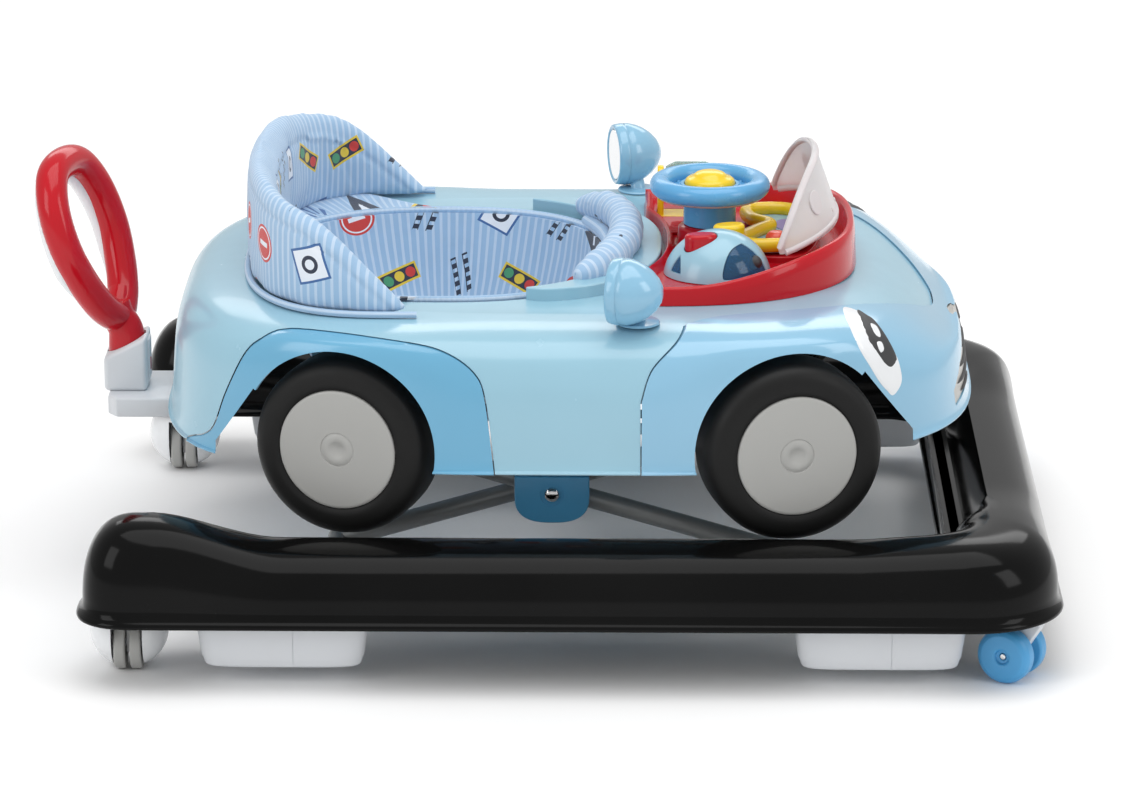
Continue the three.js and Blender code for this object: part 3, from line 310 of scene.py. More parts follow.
# ---- mesh helpers (millimetres in, metres out) ------------------------------
def make(name, points, faces, look, angle=32, uvs=None):
    mesh = bpy.data.meshes.new(name)
    mesh.from_pydata([tuple(c * MM for c in p) for p in points], [], faces)
    mesh.validate()
    if uvs is not None:
        layer = mesh.uv_layers.new(name="cloth")
        for loop in mesh.loops:
            layer.data[loop.index].uv = uvs[loop.vertex_index]
    obj = bpy.data.objects.new(name, mesh)
    bpy.context.scene.collection.objects.link(obj)
    obj.data.materials.append(LOOKS[look])
    tidy(obj, angle)
    return obj


def tidy(obj, angle=32):
    """Weld, face outwards, and shade smooth across edges flatter than `angle`."""
    work = bmesh.new()
    work.from_mesh(obj.data)
    bmesh.ops.remove_doubles(work, verts=work.verts, dist=1e-6)
    bmesh.ops.recalc_face_normals(work, faces=work.faces)
    limit = math.radians(angle)
    for face in work.faces:
        face.smooth = True
    for edge in work.edges:
        edge.smooth = edge.is_manifold and edge.calc_face_angle(0.0) < limit
    work.to_mesh(obj.data)
    work.free()


def loft(name, rings, look, around=True, ends=True, angle=32, skip=(), uvs=None):
    """Skin through rings of points; `around` closes the row of rings on itself."""
    count = len(rings[0])
    points = [p for ring in rings for p in ring]
    faces = []
    last = len(rings) if around else len(rings) - 1
    for i in range(last):
        j = (i + 1) % len(rings)
        for k in range(count):
            if k in skip:
                continue
            m = (k + 1) % count
            faces.append((i * count + k, j * count + k, j * count + m, i * count + m))
    if not around and ends:
        faces.append(tuple(range(count)))
        faces.append(tuple(range(len(points) - 1, len(points) - count - 1, -1)))
    return make(name, points, faces, look, angle, uvs)


def aim(direction):
    return Vector((0, 0, 1)).rotation_difference(Vector(direction).normalized())


def lathe(name, profile, place, direction, look, segments=64, angle=32):
    """Closed profile of (radius, height) turned about a line from `place`."""
    turn = aim(direction)
    rings = []
    for i in range(segments):
        a = 2 * math.pi * i / segments
        ring = [turn @ Vector((r * math.cos(a), r * math.sin(a), h)) + Vector(place) for r, h in profile]
        rings.append(ring)
    return loft(name, rings, look, angle=angle)


def rounded(profile, steps=4, radius=1.0):
    """Round the corners of a closed outline."""
    out = []
    for i, point in enumerate(profile):
        here = Vector(point)
        before, after = Vector(profile[i - 1]), Vector(profile[(i + 1) % len(profile)])
        a, b = before - here, after - here
        if a.length < 1e-6 or b.length < 1e-6 or (len(point) == 2 and abs(point[0]) < 1e-6):
            out.append(tuple(point))
            continue
        reach = min(radius, a.length * 0.45, b.length * 0.45)
        start, end = here + a.normalized() * reach, here + b.normalized() * reach
        for s in range(steps + 1):
            t = s / steps
            out.append(tuple(start * (1 - t) ** 2 + here * (2 * t * (1 - t)) + end * t ** 2))
    return out


def prism(name, outline, plane, low, high, look, bevel=0.8):
    """Outline in the `plane` "xy", "xz" or "yz", spread from low to high."""
    def put(a, b, c):
        return {"xy": (a, b, c), "xz": (a, c, b), "yz": (c, a, b)}[plane]
    count = len(outline)
    points = [put(a, b, low) for a, b in outline] + [put(a, b, high) for a, b in outline]
    faces = [tuple(range(count)), tuple(range(2 * count - 1, count - 1, -1))]
    for k in range(count):
        m = (k + 1) % count
        faces.append((k, m, count + m, count + k))
    obj = make(name, points, faces, look)
    if bevel:
        soften(obj, bevel)
    return obj


def block(name, low, high, look="dark", bevel=0.0):
    outline = [(low[0], low[1]), (high[0], low[1]), (high[0], high[1]), (low[0], high[1])]
    return prism(name, outline, "xy", low[2], high[2], look, bevel)


def soften(obj, width, segments=3, angle=38):
    bevel = obj.modifiers.new("bevel", "BEVEL")
    bevel.width = width * MM
    bevel.segments = segments
    bevel.limit_method = "ANGLE"
    bevel.angle_limit = math.radians(angle)
    bevel.harden_normals = False
    return obj


def spline(points, count, closed=False):
    """Catmull-Rom through points, evenly sampled by parameter."""
    n = len(points)
    out = []
    spans = n if closed else n - 1
    total = count if closed else count - 1
    for s in range(count):
        t = s / total * spans
        i = min(int(t), spans - 1)
        f = t - i

        def at(k):
            return Vector(points[k % n]) if closed else Vector(points[min(max(k, 0), n - 1)])
        a, b, c, d = at(i - 1), at(i), at(i + 1), at(i + 2)
        out.append(0.5 * (2 * b + (c - a) * f + (2 * a - 5 * b + 4 * c - d) * f * f
                          + (3 * b - a - 3 * c + d) * f ** 3))
    return out


def sweep(name, points, radius, look, segments=24, closed=False, flat=1.0, uv=False):
    """Round bar along points. `radius` is a number or a function of 0 to 1."""
    n = len(points)
    rings = []
    uvs = []
    up = Vector((0, 0, 1))
    length = 0.0
    for i, p in enumerate(points):
        before = points[i - 1] if closed or i else p
        after = points[(i + 1) % n] if closed or i < n - 1 else p
        along = (Vector(after) - Vector(before)).normalized()
        if i:
            length += (Vector(p) - Vector(points[i - 1])).length
        side = along.cross(up)
        if side.length < 0.2:
            side = along.cross(Vector((1, 0, 0)))
        side.normalize()
        over = side.cross(along).normalized()
        size = radius(i / (n - 1)) if callable(radius) else radius
        ring = []
        for k in range(segments):
            a = 2 * math.pi * k / segments
            ring.append(Vector(p) + side * (size * math.cos(a)) + over * (size * flat * math.sin(a)))
            uvs.append((a * size * MM, length * MM))
        rings.append(ring)
    return loft(name, rings, look, around=closed, angle=60, uvs=uvs if uv else None)


def settle(obj):
    """Replace an object's mesh with the result of its modifiers."""
    bpy.context.view_layer.update()
    shape = bpy.data.meshes.new_from_object(obj.evaluated_get(bpy.context.evaluated_depsgraph_get()))
    obj.modifiers.clear()
    obj.data = shape
    return obj


def carve(obj, tools, operation="DIFFERENCE", angle=32, keep=False):
    """Cut or keep what the tools cover, then remove the tools."""
    for tool in tools:
        step = obj.modifiers.new("carve", "BOOLEAN")
        step.operation = operation
        step.solver = "EXACT"
        step.object = tool
        settle(obj)
    if not keep:
        for tool in tools:
            bpy.data.objects.remove(tool)
    tidy(obj, angle)
    return obj


def copy(obj, name, look=None):
    twin = bpy.data.objects.new(name, obj.data.copy())
    bpy.context.scene.collection.objects.link(twin)
    if look:
        twin.data.materials.clear()
        twin.data.materials.append(LOOKS[look])
    return twin


def join(name, objects):
    """One object from several, all with their modifiers applied."""
    work = bmesh.new()
    looks = []
    for obj in objects:
        settle(obj)
        start = len(work.faces)
        work.from_mesh(obj.data)
        work.faces.ensure_lookup_table()
        for face in work.faces[start:]:
            material = obj.data.materials[min(face.material_index, len(obj.data.materials) - 1)]
            if material not in looks:
                looks.append(material)
            face.material_index = looks.index(material)
    mesh = bpy.data.meshes.new(name)
    work.to_mesh(mesh)
    work.free()
    for material in looks:
        mesh.materials.append(material)
    for obj in objects:
        bpy.data.objects.remove(obj)
    whole = bpy.data.objects.new(name, mesh)
    bpy.context.scene.collection.objects.link(whole)
    return whole


def place(obj, body, slot, *nodes):
    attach(obj, body)
    if nodes:
        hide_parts(*nodes)
    return obj


def smooth(low, high, value):
    t = min(1.0, max(0.0, (value - low) / (high - low)))
    return t * t * (3 - 2 * t)


def mix(a, b, t):
    return a + (b - a) * t


def power(value, exponent):
    return math.copysign(abs(value) ** exponent, value)


def arc(cx, cy, radius, start, end, steps):
    out = []
    for i in range(steps + 1):
        a = math.radians(mix(start, end, i / steps))
        out.append((cx + radius * math.cos(a), cy + radius * math.sin(a)))
    return out


# ---- floor base -------------------------------------------------------------
BASE_BACK, BASE_FRONT, BASE_HALF, BEAM, FRONT_BEAM = -343, 396, 320, 96, 87
RIM_Z, BEAM_TOP, WALL = 50, 104, 4
PIN_X, CROSS_X, SLIDE_X = -155, 11, 177
LOW_Z, CROSS_Z, HIGH_Z, TUBE_R, TRAVEL = 64, 112, 160, 7.5, 112


def base_stations():
    half = BEAM / 2
    ridge_y, ridge_x, end_x = BASE_HALF - half, BASE_FRONT - FRONT_BEAM / 2, BASE_BACK + half
    inner_y, inner_x = BASE_HALF - BEAM, BASE_FRONT - FRONT_BEAM
    outside, inside = [], []
    straight = [mix(-286, 250, i / 60) for i in range(61)]
    for x in straight:
        outside.append(((x, -BASE_HALF), (x, -ridge_y), 0))
        inside.append(((x, -inner_y), (x, -ridge_y), 0))
    for i in range(19):
        a = -math.pi / 2 + math.pi / 2 * i / 18
        c, s = math.cos(a), math.sin(a)
        ridge = (ridge_x - 55 + 55 * c, -ridge_y + 55 + 55 * s)
        outside.append(((BASE_FRONT - 70 + 70 * c, -BASE_HALF + 70 + 70 * s), ridge, 0))
        inside.append(((inner_x - 24 + 24 * c, -inner_y + 24 + 24 * s), ridge, 0))
    for i in range(16):
        y = mix(-196, -6, i / 15)
        outside.append(((BASE_FRONT, y), (ridge_x, y), 0))
        inside.append(((inner_x, y), (ridge_x, y), 1 - smooth(150, 190, -y)))
    end = []
    for i in range(25):
        a = math.pi / 2 + math.pi * i / 24
        edge = (end_x + half * power(math.cos(a), 0.8), -ridge_y + half * power(math.sin(a), 0.8))
        end.append((edge, (end_x, -ridge_y), 0))

    def flip(station):
        edge, ridge, pocket = station
        return (edge[0], -edge[1]), (ridge[0], -ridge[1]), pocket
    right = end + outside
    return right + [flip(s) for s in reversed(right)] + [flip(s) for s in inside] + inside[::-1]


def base_top(x, y):
    rear = 20 * (1 - smooth(-290, -190, x))
    corner = 5 * smooth(230, 330, x) * smooth(120, 240, abs(y))
    return BEAM_TOP + rear + corner


def base_section(edge, ridge, pocket):
    reach = math.hypot(edge[0] - ridge[0], edge[1] - ridge[1])
    top = base_top(*ridge)

    def put(distance, z):
        t = distance / reach
        return mix(ridge[0], edge[0], t), mix(ridge[1], edge[1], t), z

    def dome(width, height, steps):
        out = []
        for a in steps:
            angle = a * math.pi / 2
            distance = width * math.cos(angle) ** 0.77
            rise = height * math.sin(angle) ** 0.77
            hollow = pocket * smooth(0.25, 0.62, distance / width)
            out.append(put(distance, RIM_Z + 8 + mix(rise, min(rise, 8), hollow)))
        return out
    steps = [(i / 14) ** 1.25 for i in range(15)]
    outer = dome(reach - 5, top - RIM_Z - 8, steps)
    inner = dome(reach - 5 - WALL, top - RIM_Z - 8 - WALL, steps[::-2])
    lip = [put(reach - 5 - WALL, RIM_Z), put(reach - 1.6, RIM_Z), put(reach - 0.4, RIM_Z + 0.7),
           put(reach, RIM_Z + 2), put(reach - 0.6, RIM_Z + 3.6), put(reach - 2.2, RIM_Z + 5)]
    return lip + outer + inner


def base_shell():
    stations = base_stations()
    shell = loft("base_shell", [base_section(*s) for s in stations], "black", angle=50, skip=(20,))
    tools = []
    for side, hand in SIDES:
        low, high = sorted((side * 220, side * 238))
        circle = arc(PIN_X, LOW_Z, TUBE_R + 0.4, 0, 337.5, 15)
        tools.append(prism("pin_hole", circle, "xz", low, high, "black", 0))
        r = TUBE_R + 1
        slot = arc(SLIDE_X, LOW_Z, r, -90, 90, 10) + arc(SLIDE_X - TRAVEL, LOW_Z, r, 90, 270, 10)
        tools.append(prism("slot", slot, "xz", low, high, "black", 0))
    carve(shell, tools, angle=50)
    return place(shell, "base", "base_black", "base_frame")


base_shell()


def rounded_box(name, x, y, levels, look, count=64, exponent=0.4):
    rings = []
    for z, a, b in levels:
        ring = []
        for i in range(count):
            t = (i + 0.5) / count * 2 * math.pi
            ring.append((x + a * power(math.cos(t), exponent), y + b * power(math.sin(t), exponent), z))
        rings.append(ring)
    return loft(name, rings, look, around=False)


for side, hand in SIDES:
    for spot, x in (("rear", -188), ("front", 257)):
        levels = [(14, 55, 16), (14.4, 57, 18), (15.6, 58.5, 19.6), (17.5, 59.2, 20.4), (20, 59.8, 21),
                  (22.2, 61, 22), (50, 65, 23.6), (78, 68.5, 26)]
        pad = rounded_box(f"grip_pad_holder_{spot}_{hand}", x, side * 280, levels, "white")
        seam = block("seam", (x + 8, side * 280 - 60, 16), (x + 8.5, side * 280 + 60, 48))
        inside = rounded_box("inside", x, side * 280, [(z, a - 0.5, b - 0.5) for z, a, b in levels], "white")
        carve(seam, [inside])
        carve(pad, [seam])
        place(pad, "base", "white_plastic", f"pad_holder_{spot}_{hand}")


# ---- casters ----------------------------------------------------------------
def small_wheel(name, radius, bore, width, centre, axis, look, hollow=True):
    h = width / 2
    if hollow:
        profile = [(bore, -h + 1.4), (radius * 0.52, -h + 1.4), (radius * 0.6, -h), (radius - 1.2, -h),
                   (radius, -h + 1.2), (radius, h - 1.2), (radius - 1.2, h), (radius * 0.6, h),
                   (radius * 0.52, h - 1.4), (bore, h - 1.4)]
    else:
        profile = [(bore, -h), (radius - 1.2, -h), (radius, -h + 1.4), (radius, h - 5), (radius - 1.4, h - 2),
                   (radius - 4.5, h), (7.0, h), (5.6, h - 0.8), (5.2, h - 3), (bore, h - 3)]
    return lathe(name, rounded(profile, 3, 0.8), centre, axis, look, 56)


def rear_casters():
    x, cz, r = -306, 29.7, 29.7
    for side, hand in SIDES:
        y = side * 252
        top = 49.65 - cz
        start = math.asin(top / r)
        profile = [(0, top)]
        profile += [(r * math.cos(a), r * math.sin(a)) for a in [mix(start, -1.08, i / 20) for i in range(21)]]
        profile += [((r - 2.5) * math.cos(a), (r - 2.5) * math.sin(a)) for a in
                    [mix(-1.08, 0.62, i / 14) for i in range(15)]]
        profile.append((0, (r - 2.5) * math.sin(0.62)))
        hood = lathe(f"caster_hood_rear_{hand}", profile, (x, y, cz), (0, 0, 1), "gloss_white", 72)
        window = block("window", (x - 11.8, y - 34, -4), (x + 11.8, y - 9, 44))
        throat = block("throat", (x - 11.8, y - 30, -4), (x + 11.8, y + 18, 12))
        carve(hood, [window, throat])
        web = block("web", (x - 1.3, y - 12, 14), (x + 1.3, y + 6, 47), "gloss_white", 0.4)
        stem = lathe("stem", rounded([(0, 47), (7, 47), (7, 88), (0, 88)], 3, 1), (x, y, 0), (0, 0, 1), "gloss_white", 32)
        axle = lathe("axle", [(0, -10.6), (3, -10.6), (3, 10.6), (0, 10.6)], (x, y - 6, 20), (1, 0, 0), "white", 24)
        whole = join(f"caster_hood_rear_{hand}_whole", [hood, web, stem, axle])
        place(whole, f"rear_caster_{hand}", "white_plastic", f"rear_caster_hood_{hand}")
        for offset, name in ((-6, "inner"), (6, "outer")):
            wheel = small_wheel(f"caster_wheel_rear_{name}_{hand}", 20, 3.15, 8.6, (x + offset, y - 6, 20), (1, 0, 0), "grey")
            place(wheel, f"rear_wheel_{name}_{hand}", "grey_plastic", f"rear_caster_wheel_{name}_{hand}")


def front_casters():
    x, r, trail = 370, 21.3, 15
    a = math.radians(-28)
    roll, across = Vector((math.cos(a), math.sin(a), 0)), Vector((-math.sin(a), math.cos(a), 0))
    for side, hand in SIDES:
        origin = Vector((x, side * 279, 0))

        def at(along, aside, z):
            return origin + roll * along + across * aside + Vector((0, 0, z))
        outline = [(-trail + 9 * math.cos(t), r + 9 * math.sin(t)) for t in
                   [math.radians(mix(150, 350, i / 20)) for i in range(21)]]
        outline += [(9, 44), (9, 49.65), (-13, 49.65), (-20, 44)]
        fork = prism("fork", outline, "xz", -5.5, 5.5, "white", 0)
        for vertex in fork.data.vertices:
            p = vertex.co / MM
            vertex.co = at(p.x, p.y, p.z) * MM
        soften(fork, 1.0)
        stem = lathe("stem", rounded([(0, 46), (6, 46), (6, 78), (0, 78)], 3, 1), (x, side * 279, 0), (0, 0, 1), "white", 28)
        whole = join(f"caster_fork_front_{hand}", [fork, stem])
        bore = lathe("bore", [(0, -8), (2.65, -8), (2.65, 8), (0, 8)], at(-trail, 0, r), across, "white", 24)
        carve(whole, [bore])
        place(whole, f"front_caster_{hand}", "white_plastic", f"front_caster_fork_{hand}")
        pin = lathe(f"caster_axle_front_{hand}", rounded([(0, -17.5), (2.5, -17.5), (2.5, 17.5), (0, 17.5)], 4, 1.2),
                    at(-trail, 0, r), across, "chrome", 32)
        place(pin, f"front_caster_{hand}", "bright_steel", f"front_caster_axle_{hand}")
        for offset, name in ((-13, "outer"), (13, "inner")):
            direction = across * (1 if offset > 0 else -1)
            wheel = small_wheel(f"caster_wheel_front_{name}_{hand}", r, 2.85, 14, at(-trail, offset, r), direction,
                                "caster_blue", False)
            place(wheel, f"front_wheel_{name}_{hand}", "caster_blue", f"front_caster_wheel_{name}_{hand}")


rear_casters()
front_casters()


# ---- folding legs -----------------------------------------------------------
def tube(name, start, end, look="tube", radius=TUBE_R, segments=32):
    a, b = Vector(start), Vector(end)
    length = (b - a).length
    return lathe(name, rounded([(0, 0), (radius, 0), (radius, length), (0, length)], 3, 0.8), a, b - a, look, segments)


def legs():
    for name, y, low_x, high_x, node in (("inner", 143, PIN_X, SLIDE_X, "leg_inner"), ("outer", 160, SLIDE_X, PIN_X, "leg_outer")):
        parts = []
        for side, hand in SIDES:
            parts.append(tube("rail", (low_x, side * y, LOW_Z), (high_x, side * y, HIGH_Z)))
            near, far = (137, 149.5) if name == "inner" else (153, 168)
            parts.append(tube("eye", (CROSS_X, side * near, CROSS_Z), (CROSS_X, side * far, CROSS_Z), "tube", 9))
            end = (low_x, side * y, LOW_Z)
            high = (high_x, side * y, HIGH_Z)
            for spot in (end, high):
                ball = [(0, -TUBE_R)] + [(TUBE_R * math.cos(t), TUBE_R * math.sin(t)) for t in
                                         [math.radians(-80 + 20 * i) for i in range(9)]] + [(0, TUBE_R)]
                parts.append(lathe("knuckle", ball, spot, (0, 1, 0), "tube", 28))
            if name == "inner":
                parts.append(tube("stub", (PIN_X, side * 137, LOW_Z), (PIN_X, side * 246, LOW_Z)))
            else:
                parts.append(tube("pin", (PIN_X, side * 166, HIGH_Z), (PIN_X, side * 144.6, HIGH_Z), "tube", 5))
        if name == "inner":
            parts.append(tube("cross", (SLIDE_X, -149, HIGH_Z), (SLIDE_X, 149, HIGH_Z)))
        else:
            parts.append(tube("cross", (SLIDE_X, -246, LOW_Z), (SLIDE_X, 246, LOW_Z)))
        place(join(f"folding_leg_{name}", parts), f"{name}_leg", "grey_tube", node)
    for side, hand in SIDES:
        outline = [(-28.5, 14)] + [(28.5 * power(math.cos(a), 0.75), -2 + 21 * power(math.sin(a), 0.75)) for a in
                                   [math.pi * (1 + i / 28) for i in range(29)]] + [(28.5, 14)]
        low, high = sorted((side * 168.4, side * 178))
        plate = prism(f"clip_{hand}", [(CROSS_X + x, CROSS_Z + z) for x, z in outline], "xz", low, high, "clip", 1.4)
        recess = lathe("recess", [(0, -0.6), (9, -0.6), (9.6, 3), (0, 3)], (CROSS_X, side * 178, CROSS_Z), (0, side, 0), "clip", 40)
        carve(plate, [recess])
        place(plate, "outer_leg", "clip_blue", f"pivot_clip_{hand}")
        profile = [(0, 0), (5.5, 0), (5.5, 1.5), (3, 1.5), (3, 44.7), (5.6, 44.7), (5.3, 46.2), (4, 47.3), (2, 47.8), (0, 47.9)]
        head = lathe(f"rivet_{hand}", profile, (CROSS_X, side * 133.6, CROSS_Z), (0, side, 0), "chrome", 36)
        place(head, "inner_leg", "bright_steel", f"pivot_rivet_{hand}")


legs()


# ---- car body ---------------------------------------------------------------
MID_X, HALF_L, HALF_W, SKIN, DECK = 22, 312, 254, 3.5, 254
OPEN_X, OPEN_L, OPEN_W = -78, 143, 144
WHEEL_Z, WHEEL_R, CAP_R, ARCH_R = 163, 68.5, 46, 77
WHEELS = (
    dict(name="rear", x=-149.5, y=231, toe=0.3, plate=173, mouth_x=-244, mouth=[(-244, 156), (-213, 204)]),
    dict(name="front", x=195.5, y=242, toe=-0.239, plate=184, mouth_x=285, mouth=[(284, 169), (246, 221)]),
)


def plan_point(t, inset):
    return (MID_X + (HALF_L - inset) * power(math.cos(t), 2 / 3), (HALF_W - inset) * power(math.sin(t), 2 / 3))


def opening_point(t, grow=0.0):
    return (OPEN_X + (OPEN_L + grow) * power(math.cos(t), 0.83), (OPEN_W + grow) * power(math.sin(t), 0.83))


def deck_height(x):
    return DECK - 0.0056 * max(0, x - 230) ** 2


def shoulder_height(x):
    bumps = max(math.exp(-(((x - w["x"]) / 82) ** 4)) for w in WHEELS)
    nose = smooth(250, 325, x)
    return 222 + 20 * bumps * (1 - nose) - 12 * nose


def hem_height(x):
    return 152 - 6 * (1 - smooth(-260, -180, x)) + 9 * smooth(180, 290, x)


def even_turns(count):
    """Turns at which the plan outline is sampled at even distances."""
    dense = [2 * math.pi * i / 6000 for i in range(6001)]
    points = [Vector(plan_point(t, 0)) for t in dense]
    lengths = [0.0]
    for a, b in zip(points, points[1:]):
        lengths.append(lengths[-1] + (b - a).length)
    out, k = [], 0
    for i in range(count):
        want = lengths[-1] * (i + 0.5) / count
        while lengths[k + 1] < want:
            k += 1
        out.append(mix(dense[k], dense[k + 1], (want - lengths[k]) / (lengths[k + 1] - lengths[k])))
    return out


TURNS = even_turns(128)


def body_skin(name, proud, look):
    rings = []
    for t in TURNS:
        ex = plan_point(t, 0)[0]
        hem, shoulder = hem_height(ex), shoulder_height(ex)

        def along(inset, z):
            return (*plan_point(t, inset - proud), z)

        def deck(inset, fraction):
            x = plan_point(t, inset)[0]
            return (*plan_point(t, inset - proud), mix(shoulder, deck_height(x), fraction) + proud)

        def to_opening(fraction, drop):
            o, d = opening_point(t), plan_point(t, 75)
            x, y = mix(d[0], o[0], fraction), mix(d[1], o[1], fraction)
            return x, y, deck_height(x) + proud - drop
        crown = [along(-0.6, hem + 2), along(1, hem + 8), along(4.5, mix(hem, shoulder, 0.75)), along(8, shoulder),
                 deck(14, 0.45), deck(26, 0.78), deck(46, 0.95), to_opening(0, 0), to_opening(0.2, 0)]
        outer = [along(-2, hem), along(-2.2, hem + 1)] + spline(crown, 29) + [to_opening(0.6, 0), to_opening(1, 0)]
        ox, oy = opening_point(t)
        wx, wy = opening_point(t, SKIN)
        lip = deck_height(ox) - 12
        inner = [(ox, oy, lip), (wx, wy, lip), (wx, wy, deck_height(wx) - SKIN), to_opening(0, SKIN),
                 deck(50, 0.93), deck(31, 0.72), along(11.5, shoulder - 4), along(1.5, hem)]
        for k in (4, 5):
            x, y, z = inner[k]
            inner[k] = (x, y, z - SKIN)
        rings.append(outer + inner)
    return loft(name, rings, look, angle=40)


def plan_block(inset):
    return prism("plan_block", [plan_point(t, inset) for t in TURNS], "xy", 90, 320, "pale", 0)


def wheel_axis(wheel, side):
    return Vector((-wheel["toe"], side * math.sqrt(1 - wheel["toe"] ** 2), 0))


def wheel_point(wheel, side, inward, z=WHEEL_Z):
    axis = wheel_axis(wheel, side)
    return Vector((wheel["x"] - axis.x * inward, side * wheel["y"] - axis.y * inward, z))


def arch_tools():
    tools = []
    for wheel in WHEELS:
        for side, hand in SIDES:
            start, end = wheel_point(wheel, side, 80), wheel_point(wheel, side, -50)
            tools.append(lathe("arch", [(0, 0), (ARCH_R, 0), (ARCH_R, 130), (0, 130)], start, end - start, "pale", 96))
            low, high = sorted((side * 145, side * 320))
            mouth = [(wheel["x"], 110), (wheel["mouth_x"], 110), *wheel["mouth"], (wheel["x"], WHEEL_Z)]
            tools.append(prism("mouth", mouth, "xz", low, high, "pale", 0))
    return tools


REAR_FENDER = [
    (-290, 130), (-31, 130), (-31, 152), (-38, 208), (-46, 227), (-65, 240), (-91, 246.5), (-139, 249.5),
    (-185, 248.5), (-206, 241), (-220, 227), (-235, 195), (-247, 163), (-264, 150),
]
FASCIA_SIDE = [(79, 120), (420, 120), (420, 330), (125, 330), (120, 262), (107, 249), (87, 230), (79, 207)]
HOOD_HALF = [(20, 240), (85, 220), (107, 207), (136, 183), (186, 166), (231, 149), (262, 122), (291, 72), (305, 33)]
GRILLE = [
    (-128, 169), (-80, 173), (0, 176), (80, 173), (128, 169), (128, 181), (100, 195), (60, 206), (0, 211),
    (-60, 206), (-100, 195), (-128, 181),
]


def grown(points, grow):
    out = []
    for i, p in enumerate(points):
        here, before, after = Vector(p), Vector(points[i - 1]), Vector(points[(i + 1) % len(points)])
        a, b = (here - before).normalized(), (after - here).normalized()
        normal = Vector((a.y + b.y, -a.x - b.x)).normalized()
        reach = grow / max(0.3, normal.x * b.y - normal.y * b.x)
        out.append((here.x + normal.x * reach, here.y + normal.y * reach))
    return out


def fender_outline(grow):
    body = grown(REAR_FENDER, grow)
    return body[:2] + [tuple(p) for p in spline(body[2:], 60)]


def fender_tool(side, grow, inset):
    low, high = sorted((side * 100, side * 320))
    return carve(prism("fender_tool", fender_outline(grow), "xz", low, high, "mid", 0), [plan_block(inset)])


def fascia_tool(grow):
    side = grown(FASCIA_SIDE, grow)
    outline = side[:4] + [tuple(p) for p in spline(side[4:], 24)]
    tool = prism("fascia_tool", outline, "xz", -320, 320, "light", 0)
    half = [(x, y - grow) for x, y in HOOD_HALF]
    ends = [(x, -y) for x, y in half] + [(308 - grow, 0)] + half[::-1]
    hood = [tuple(p) for p in spline(ends, 90)]
    return carve(tool, [prism("hood_tool", hood, "xy", 60, 340, "light", 0)])


def under_parts():
    parts = []
    for side, hand in SIDES:
        lug = [(-172, 152), (-166, 146), (-144, 146), (-138, 152), (-138, 252), (-172, 252)]
        low, high = sorted((side * 145.2, side * 150.5))
        plate = prism("lug", lug, "xz", low, high, "pale", 0)
        carve(plate, [tube("hole", (PIN_X, side * 140, HIGH_Z), (PIN_X, side * 155, HIGH_Z), "pale", 5.3)])
        parts.append(plate)
        back, front = SLIDE_X - TRAVEL - 16, SLIDE_X + 16
        low, high = sorted((side * 120, side * 126))
        rail = prism("rail", [(back, 144), (front, 144), (front, 252), (back, 252)], "xz", low, high, "pale", 0)
        r = TUBE_R + 1
        slot = block("slot", (SLIDE_X - TRAVEL - r, low - 5, HIGH_Z - r), (SLIDE_X + r, high + 5, HIGH_Z + r))
        parts.append(carve(rail, [slot]))
        for wheel in WHEELS:
            inward = (wheel["y"] - wheel["plate"]) / math.sqrt(1 - wheel["toe"] ** 2)
            x = wheel_point(wheel, side, inward).x
            low, high = sorted((side * (wheel["plate"] - 3), side * (wheel["plate"] + 3)))
            top = 252 if wheel["name"] == "rear" else 247
            parts.append(block("strut", (x - 10, low, 148), (x + 10, high, top), "pale", 0.8))
            parts.append(tube("stub", wheel_point(wheel, side, inward), wheel_point(wheel, side, 7.5), "pale", 6))
            if wheel["name"] == "front":
                low, high = sorted((side * 132, side * wheel["plate"]))
                parts.append(block("bridge", (x - 10, low, 237), (x + 10, high, 247), "pale", 0.8))
    return parts


def collar():
    outer, inner = [], []
    for i in range(41):
        t = mix(-1.15, 1.15, i / 40)
        outer.append(opening_point(t, 3 + 27 * math.sin(math.pi * i / 40) ** 0.5))
        inner.append(opening_point(t, 0.6))
    return prism("collar", outer + inner[::-1], "xy", 252, 264, "pale", 2.2)


def body():
    skin = carve(body_skin("skin", 0, "pale"), arch_tools(), angle=38)
    proud = carve(body_skin("proud", 1.1, "light"), arch_tools(), angle=38)
    for side, hand in SIDES:
        fender = carve(copy(proud, f"rear_fender_panel_{hand}", "mid"), [fender_tool(side, 0, 44)], "INTERSECT", 38)
        place(fender, "car", "mid_blue", f"rear_fender_{hand}")
    cut_grille = prism("grille_hole", grown(GRILLE, 0.5), "yz", 255, 360, "light", 0)
    fascia = carve(copy(proud, "front_fascia_panel"), [fascia_tool(0)], "INTERSECT", 38)
    carve(fascia, [cut_grille], angle=38)
    place(fascia, "car", "light_blue", "front_fascia")
    grille = carve(copy(skin, "grille_band", "silver"), [prism("band", GRILLE, "yz", 255, 360, "silver", 0)], "INTERSECT", 38)
    place(grille, "car", "silver_plastic", "grille")
    bpy.data.objects.remove(proud)
    tools = [fascia_tool(0.9)] + [fender_tool(side, 0.9, 44.9) for side, hand in SIDES]
    carve(skin, tools, angle=38)
    shell = join("car_body_shell", [skin, collar(), *under_parts()])
    place(shell, "car", "pale_blue", "car_body")
    return shell, fascia, grille


shell, fascia, grille = body()


# ---- prints and trims that lie on a panel -----------------------------------
def surface_of(obj):
    return BVHTree.FromObject(obj, bpy.context.evaluated_depsgraph_get())


def laid(surface, wanted, along, height):
    """Where a line that runs inwards along `along` first meets the panel, raised by `height` mm."""
    spot, normal, index, distance = surface.ray_cast(wanted - along * 0.08, along)
    if spot is None or distance > 0.14:
        spot, normal, index, distance = surface.find_nearest(wanted)
    if normal.dot(along) > 0:
        normal = -normal
    return (spot + normal * height * MM) / MM


